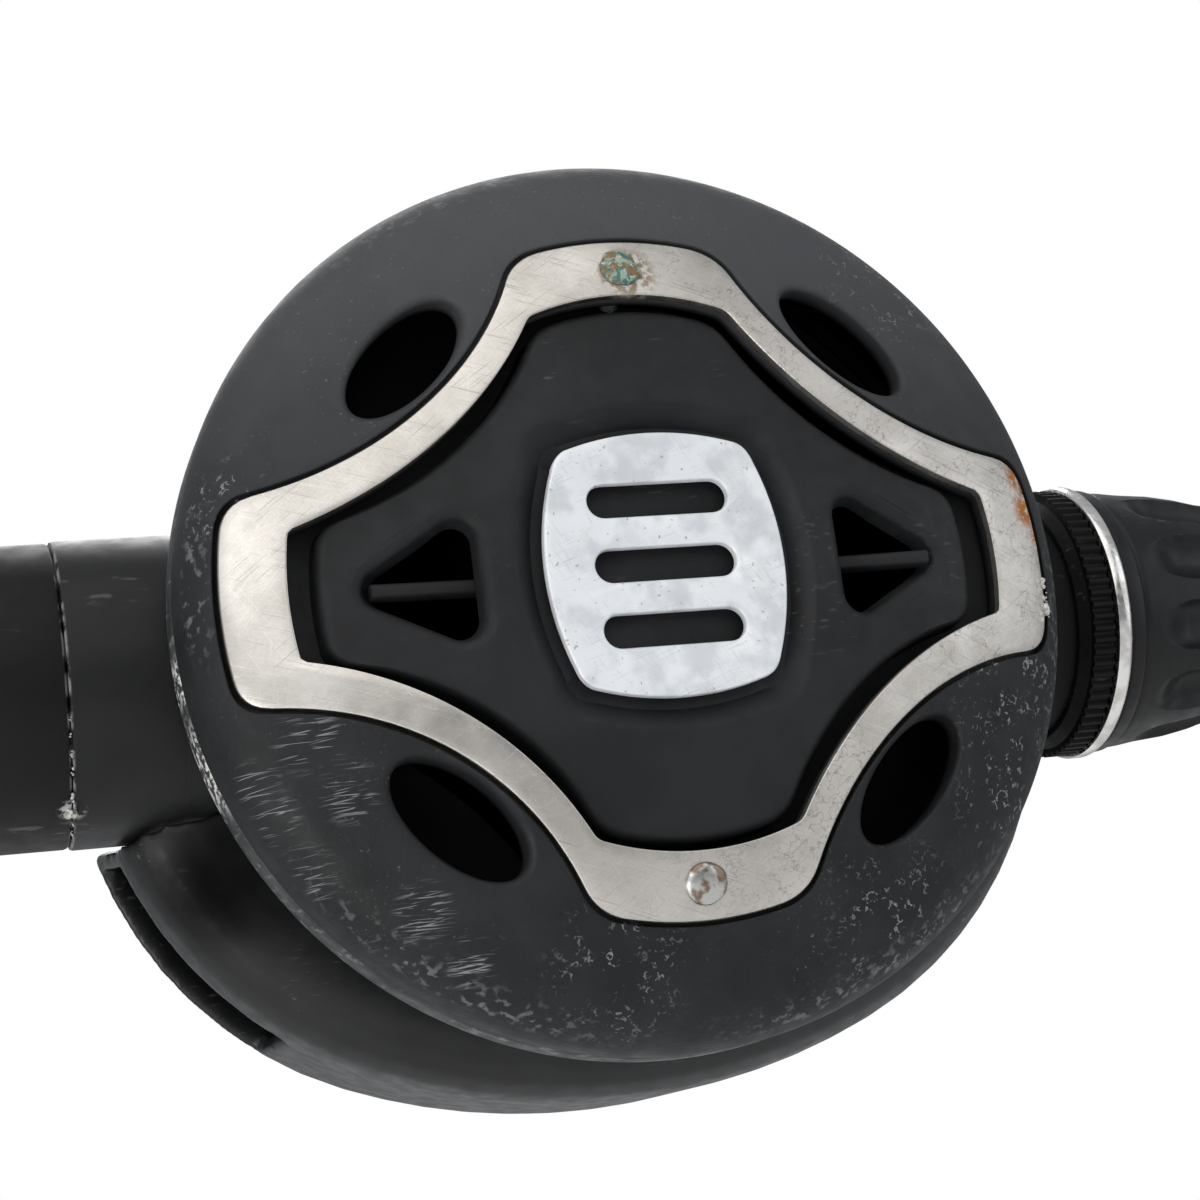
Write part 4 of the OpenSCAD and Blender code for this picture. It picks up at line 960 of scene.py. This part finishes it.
def knob_grip():
    """Rubber grip: a collar, then a tapering body with leaf-shaped finger dimples"""
    low, high = grip_lo.x / MM, grip_hi.x / MM
    pitch = 2 * math.pi / DIMPLES
    off = np.abs(((ROUND - math.radians(197.5) + pitch / 2) % pitch) - pitch / 2) / (pitch / 2)
    knots = [(0, 11.9), (0.35, 12.2), (1.2, 12.22), (1.5, 12.1), (1.7, 11.85), (1.95, 11.95), (3.2, 11.85),
             (5, 11.6), (8, 11.35), (10.6, 10.9), (13, 10.3), (16, 9.85), (high - low - 2.4, 9.6)]
    along = np.array([k[0] for k in knots])
    size = np.array([k[1] for k in knots])
    steps = np.concatenate([[0, 0.15, 0.35, 1.2, 1.4, 1.55, 1.7, 1.85, 2.0],
                            np.linspace(2.4, high - low - 2.4, 70)])
    start, tip, cut_in, sharpness = 3.3, 2.4, 1.7, 0.62
    rings = []
    for v in steps:
        base = float(np.interp(v, along, size))
        t = float(np.clip((v - start) / 4.5, 0, 1))
        half = 0.7 * math.sqrt(1 - (1 - t) ** 2) + 0.1 * float(ease((v - 8) / 6))
        deep = cut_in * ease((v - start) / 4.0) * (1 - 0.5 * ease((v - 14) / 6))
        leaf = np.clip(1 - (off / max(half, 1e-3)) ** 2, 0, 1)
        rings.append(about_barrel(low + v, base - deep * leaf ** sharpness))
    last = steps[-1]
    leaf = np.clip(1 - (off / 0.8) ** 2, 0, 1) ** sharpness
    deep = cut_in * (1 - 0.5 * float(ease((last - 14) / 6)))
    for lean in np.radians((15, 30, 45, 60, 75, 90)):
        fade = math.cos(lean)
        rings.append(about_barrel(low + last + tip * math.sin(lean), 7.2 + tip * fade - deep * leaf * fade))
    end, bore, eye = 66.6, 9.05, 3.3
    inside = ((high, 5.0), (high, 3.6), (high - 0.3, eye), (end, eye), (end, bore), (low, bore))
    rings += [about_barrel(x, r) for x, r in inside]
    return dress(make("grip", loft(rings, closed=True), 26), "knob", "grip_rubber", "knob_grip")


# ---- Inlet sleeve ----

def inlet_sleeve():
    """Rubber sleeve with a rolled mouth"""
    low, high = sleeve_lo.x / MM, sleeve_hi.x / MM
    outer = (sleeve_hi.y - sleeve_lo.y) / 2 / MM
    inner = outer - 1.5
    mouth = ((0.04, 4), (0.06, 2.2), (0.2, 1.9), (0.22, 1.6), (0.1, 1.3), (0.14, 0.7), (0.45, 0.15), (0.8, 0))
    profile = [(inner, high), (outer - 0.35, high), (outer - 0.1, high - 0.12), (outer, high - 0.4),
               (outer - 0.02, high - 6), (outer - 0.06, high - 14),
               *((outer - inset, low + run) for inset, run in mouth), (inner + 0.35, low),
               (inner + 0.05, low + 0.15), (inner, low + 0.5), (inner, low + 14)]
    return dress(make_about_barrel("sleeve", profile), "case", "sleeve_rubber", "inlet_sleeve")


# ---- Salt ----

def crust(name, slot, spots, seed):
    """Small rough lumps of salt. A spot is a point of the row's frame in millimetres, how far the lumps
    spread along each axis, how many there are and the size of the largest"""
    draw = np.random.default_rng(seed)
    shell = bmesh.new()
    for place, spread, count, size in spots:
        for _ in range(count):
            radius = size * draw.uniform(0.35, 1.0) ** 1.5
            middle = np.array(place) + draw.uniform(-1, 1, 3) * np.array(spread)
            made = bmesh.ops.create_icosphere(shell, subdivisions=2, radius=1)
            squeeze = draw.uniform(0.55, 1.15, 3)
            for vertex in made["verts"]:
                lump = np.array(vertex.co) * radius * squeeze * draw.uniform(0.8, 1.15)
                vertex.co = Vector((middle + lump) * MM)
    mesh = bpy.data.meshes.new(name)
    shell.to_mesh(mesh)
    shell.free()
    shade(mesh, 180)
    piece = bpy.data.objects.new(name, mesh)
    bpy.context.scene.collection.objects.link(piece)
    look = Look(name, 0.85, specular=0.3)
    tone = look.mix(look.patches(0.3, 3.0, 0.4, 0.6), (0.62, 0.61, 0.57), (0.34, 0.33, 0.3))
    look.finish(tone, normal=look.bump(look.noise(0.12, 3.0), 0.06))
    dress(piece, "case", slot, look=look.material)


def salt():
    """Salt lumps on the trim plate's right end and on the sleeve's seam"""
    def on_face(x, y):
        w = float(face_height(math.hypot(x, y), TRIM_LOW))
        return tuple(v / MM for v in from_cover([(x, y, w)])[0])

    def on_tube(x, degrees):
        a = math.radians(degrees)
        return x, BARREL_Y / MM + 12.8 * math.cos(a), BARREL_Z / MM + 12.8 * math.sin(a)

    edge = [(on_face(34.0, y), (0.24, 0.1, 0.6), 7, 0.36) for y in (-2.6, -3.8, -5.0)]
    crust("salt_trim", "trim_steel", edge, 3)
    seam = sleeve_hi.x / MM
    crust("salt_seam", "sleeve_rubber", [(on_tube(seam, 238), (0.3, 0.5, 0.5), 12, 0.42),
                                         (on_tube(seam + 0.2, 232), (0.25, 0.4, 0.4), 6, 0.3)]
          + [(on_tube(seam, a), (0.12, 0.2, 0.3), 5, 0.15) for a in (200, 206, 213, 220, 246, 251)], 5)


# ---- Springs and membrane ----

def coil(major, wire, turns, start, length, frame_of):
    """Round-wire spring with closed ends. frame_of turns (a, b, height) into a point of the row's frame"""
    steps, sides = int(turns * 40), 14
    t = np.linspace(0, 1, steps + 1)
    angle = 2 * math.pi * turns * t
    rise = wire / 2 + (length - wire) * (t - np.sin(2 * math.pi * t) / 9)
    middle = np.stack([major * np.cos(angle), major * np.sin(angle), start + rise], 1)
    out = np.stack([np.cos(angle), np.sin(angle), 0 * angle], 1)
    up = np.array([0, 0, 1.0])
    b = np.arange(sides) * 2 * math.pi / sides
    rings = [frame_of(m + wire / 2 * (np.outer(np.cos(b), o) + np.outer(np.sin(b), up)))
             for m, o in zip(middle, out)]
    return loft(rings)


def from_barrel(points):
    return np.stack([points[:, 2] * MM, BARREL_Y + points[:, 1] * MM, BARREL_Z + points[:, 0] * MM], 1)


def springs():
    """The purge spring, and the load spring, which keeps back millimetres clear for the poppet's stroke"""
    wire, purge_stroke, pad_stroke, back = 0.9, 2.6, 2.5, 0.42
    purge = make("purge_coil", coil(5.6, wire, 4.5, FLOOR_TOP, SPRING_TOP - FLOOR_TOP, from_cover), 60)
    dress(purge, "case", "spring_steel", "purge_spring")
    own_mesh(purge)
    lo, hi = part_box("poppet_spring")
    start, length = lo.x / MM + back, (hi.x - lo.x) / MM - back
    load = make("poppet_coil", coil(5.05, wire, 7, start, length, from_barrel), 60)
    dress(load, "case", "spring_steel", "poppet_spring")
    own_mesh(load)


def diaphragm():
    """Rolled membrane: a flat middle, a soft convolution and a clamped bead"""
    t = 0.7
    top = [(0.3, -1.5), (18, -1.5), (19, -1.62), (20.2, -2.05), (21.6, -2.62), (23, -2.95), (24.4, -2.98),
           (25.8, -2.7), (27, -2.62), (28.2, -2.85), (29.6, -3.5), (30.9, -3.8), (31.3, -3.3), (31.7, -3.2),
           (33.6, -3.2), (33.9, -3.5)]
    under = [(33.9, -4.3), (33.6, -4.6), (30.8, -4.5), (29.4, -4.2), (28.2, -2.85 - t), (27, -2.62 - t),
             (25.8, -2.7 - t), (24.4, -2.98 - t), (23, -2.95 - t), (21.4, -2.55 - t), (20, -1.95 - t),
             (18.8, -2.2), (0.3, -2.2)]
    piece = make_in_cover("membrane_disc", [polar(r, w) for r, w in top + under], 60)
    dress(piece, "case", "membrane", "diaphragm")
    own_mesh(piece)


# ---- Assembly ----

front_cover()
trim_plate()
screw_head("screw_top", 1, 0.16, corroded_brass())
screw_head("screw_foot", -1, 0.03, LOOKS["screw_steel"])
purge_button()
emblem_plate()
knob_ring()
knob_grip()
inlet_sleeve()
springs()
diaphragm()
salt()
case_and_rim()
dress(soften("tee", "exhaust_tee", 0.45, 6), "case", "tee_rubber", "exhaust_tee")
dress(soften("mouthpiece_rubber", "mouthpiece", 0.5, 14), "case", "mouth_rubber", "mouthpiece")
dress(soften("tie", "mouthpiece_tie", 0.3, 4), "case", "tie_plastic", "mouthpiece_tie")
for name, node in frame["nodes"].items():
    if not node.hide_render:
        for spot in node.material_slots:
            spot.material = LOOKS[SLOTS[name]]


# ---- Stage, light and camera ----

def lamp(name, place, size, power, colour):
    light = bpy.data.lights.new(name, "AREA")
    light.shape = "DISK"
    light.size = size
    light.energy = power
    light.color = colour
    piece = bpy.data.objects.new(name, light)
    bpy.context.scene.collection.objects.link(piece)
    piece.location = place
    target = Vector((0, -0.06, 0))
    piece.rotation_euler = (target - Vector(place)).to_track_quat("-Z", "Y").to_euler()


def floor():
    """Plain pale floor, below the object that is held up at its mouthpiece"""
    half, level = 6.0, -0.32
    corners = [(-half, -half, level), (half, -half, level), (half, half, level), (-half, half, level)]
    piece = make("floor", (corners, [(0, 1, 2, 3)]))
    look = Look("floor", 0.8, specular=0.2)
    tone = look.mix(look.patches(400.0, 2.0, 0.3, 0.7), (0.86, 0.86, 0.86), (0.9, 0.9, 0.9))
    piece.data.materials.append(look.finish(tone))


def world():
    """White to the camera, softer as a light"""
    scene = bpy.context.scene
    scene.world = bpy.data.worlds.new("studio")
    scene.world.use_nodes = True
    tree = scene.world.node_tree
    seen = tree.nodes["Background"]
    seen.inputs["Color"].default_value = (1, 1, 1, 1)
    glow = tree.nodes.new("ShaderNodeBackground")
    glow.inputs["Color"].default_value = (0.93, 0.96, 1.0, 1)
    split = tree.nodes.new("ShaderNodeSeparateXYZ")
    tree.links.new(tree.nodes.new("ShaderNodeTexCoord").outputs["Generated"], split.inputs[0])
    rise = tree.nodes.new("ShaderNodeMapRange")
    for key, number in (("From Min", -0.7), ("From Max", 0.9), ("To Min", 0.1), ("To Max", 0.5)):
        rise.inputs[key].default_value = number
    tree.links.new(split.outputs["Z"], rise.inputs["Value"])
    tree.links.new(rise.outputs["Result"], glow.inputs["Strength"])
    path = tree.nodes.new("ShaderNodeLightPath")
    blend = tree.nodes.new("ShaderNodeMixShader")
    tree.links.new(path.outputs["Is Camera Ray"], blend.inputs["Fac"])
    tree.links.new(glow.outputs[0], blend.inputs[1])
    tree.links.new(seen.outputs[0], blend.inputs[2])
    tree.links.new(blend.outputs[0], tree.nodes["World Output"].inputs["Surface"])
    scene.view_settings.view_transform = "Standard"


def camera():
    """Camera to the left of and below the cover's axis, with a slight roll"""
    right = Vector((0.9574, -0.2575, -0.1308))
    down = Vector((-0.0638, 0.2534, -0.9653))
    ahead = right.cross(down)
    turn = Matrix((right, -down, -ahead)).transposed().to_4x4()
    lens = bpy.data.cameras.new("camera")
    lens.lens = 75
    lens.sensor_width = 36
    lens.clip_start = 0.01
    piece = bpy.data.objects.new("camera", lens)
    bpy.context.scene.collection.objects.link(piece)
    piece.matrix_world = Matrix.Translation((-0.059705, -0.265882, -0.04895)) @ turn
    bpy.context.scene.camera = piece


floor()
world()
lamp("low", (-0.5, -0.3, -0.24), 0.3, 1.1, (1.0, 0.99, 0.97))
lamp("key", (-0.28, -0.62, 0.62), 1.4, 4.8, (1.0, 0.985, 0.96))
lamp("fill", (0.6, -0.5, 0.15), 0.7, 1.2, (0.93, 0.96, 1.0))
lamp("side", (-0.66, -0.64, 0.1), 0.8, 1.2, (0.95, 0.97, 1.0))
lamp("back", (0.1, 0.55, 0.5), 0.6, 3.5, (1.0, 1.0, 1.0))
camera()
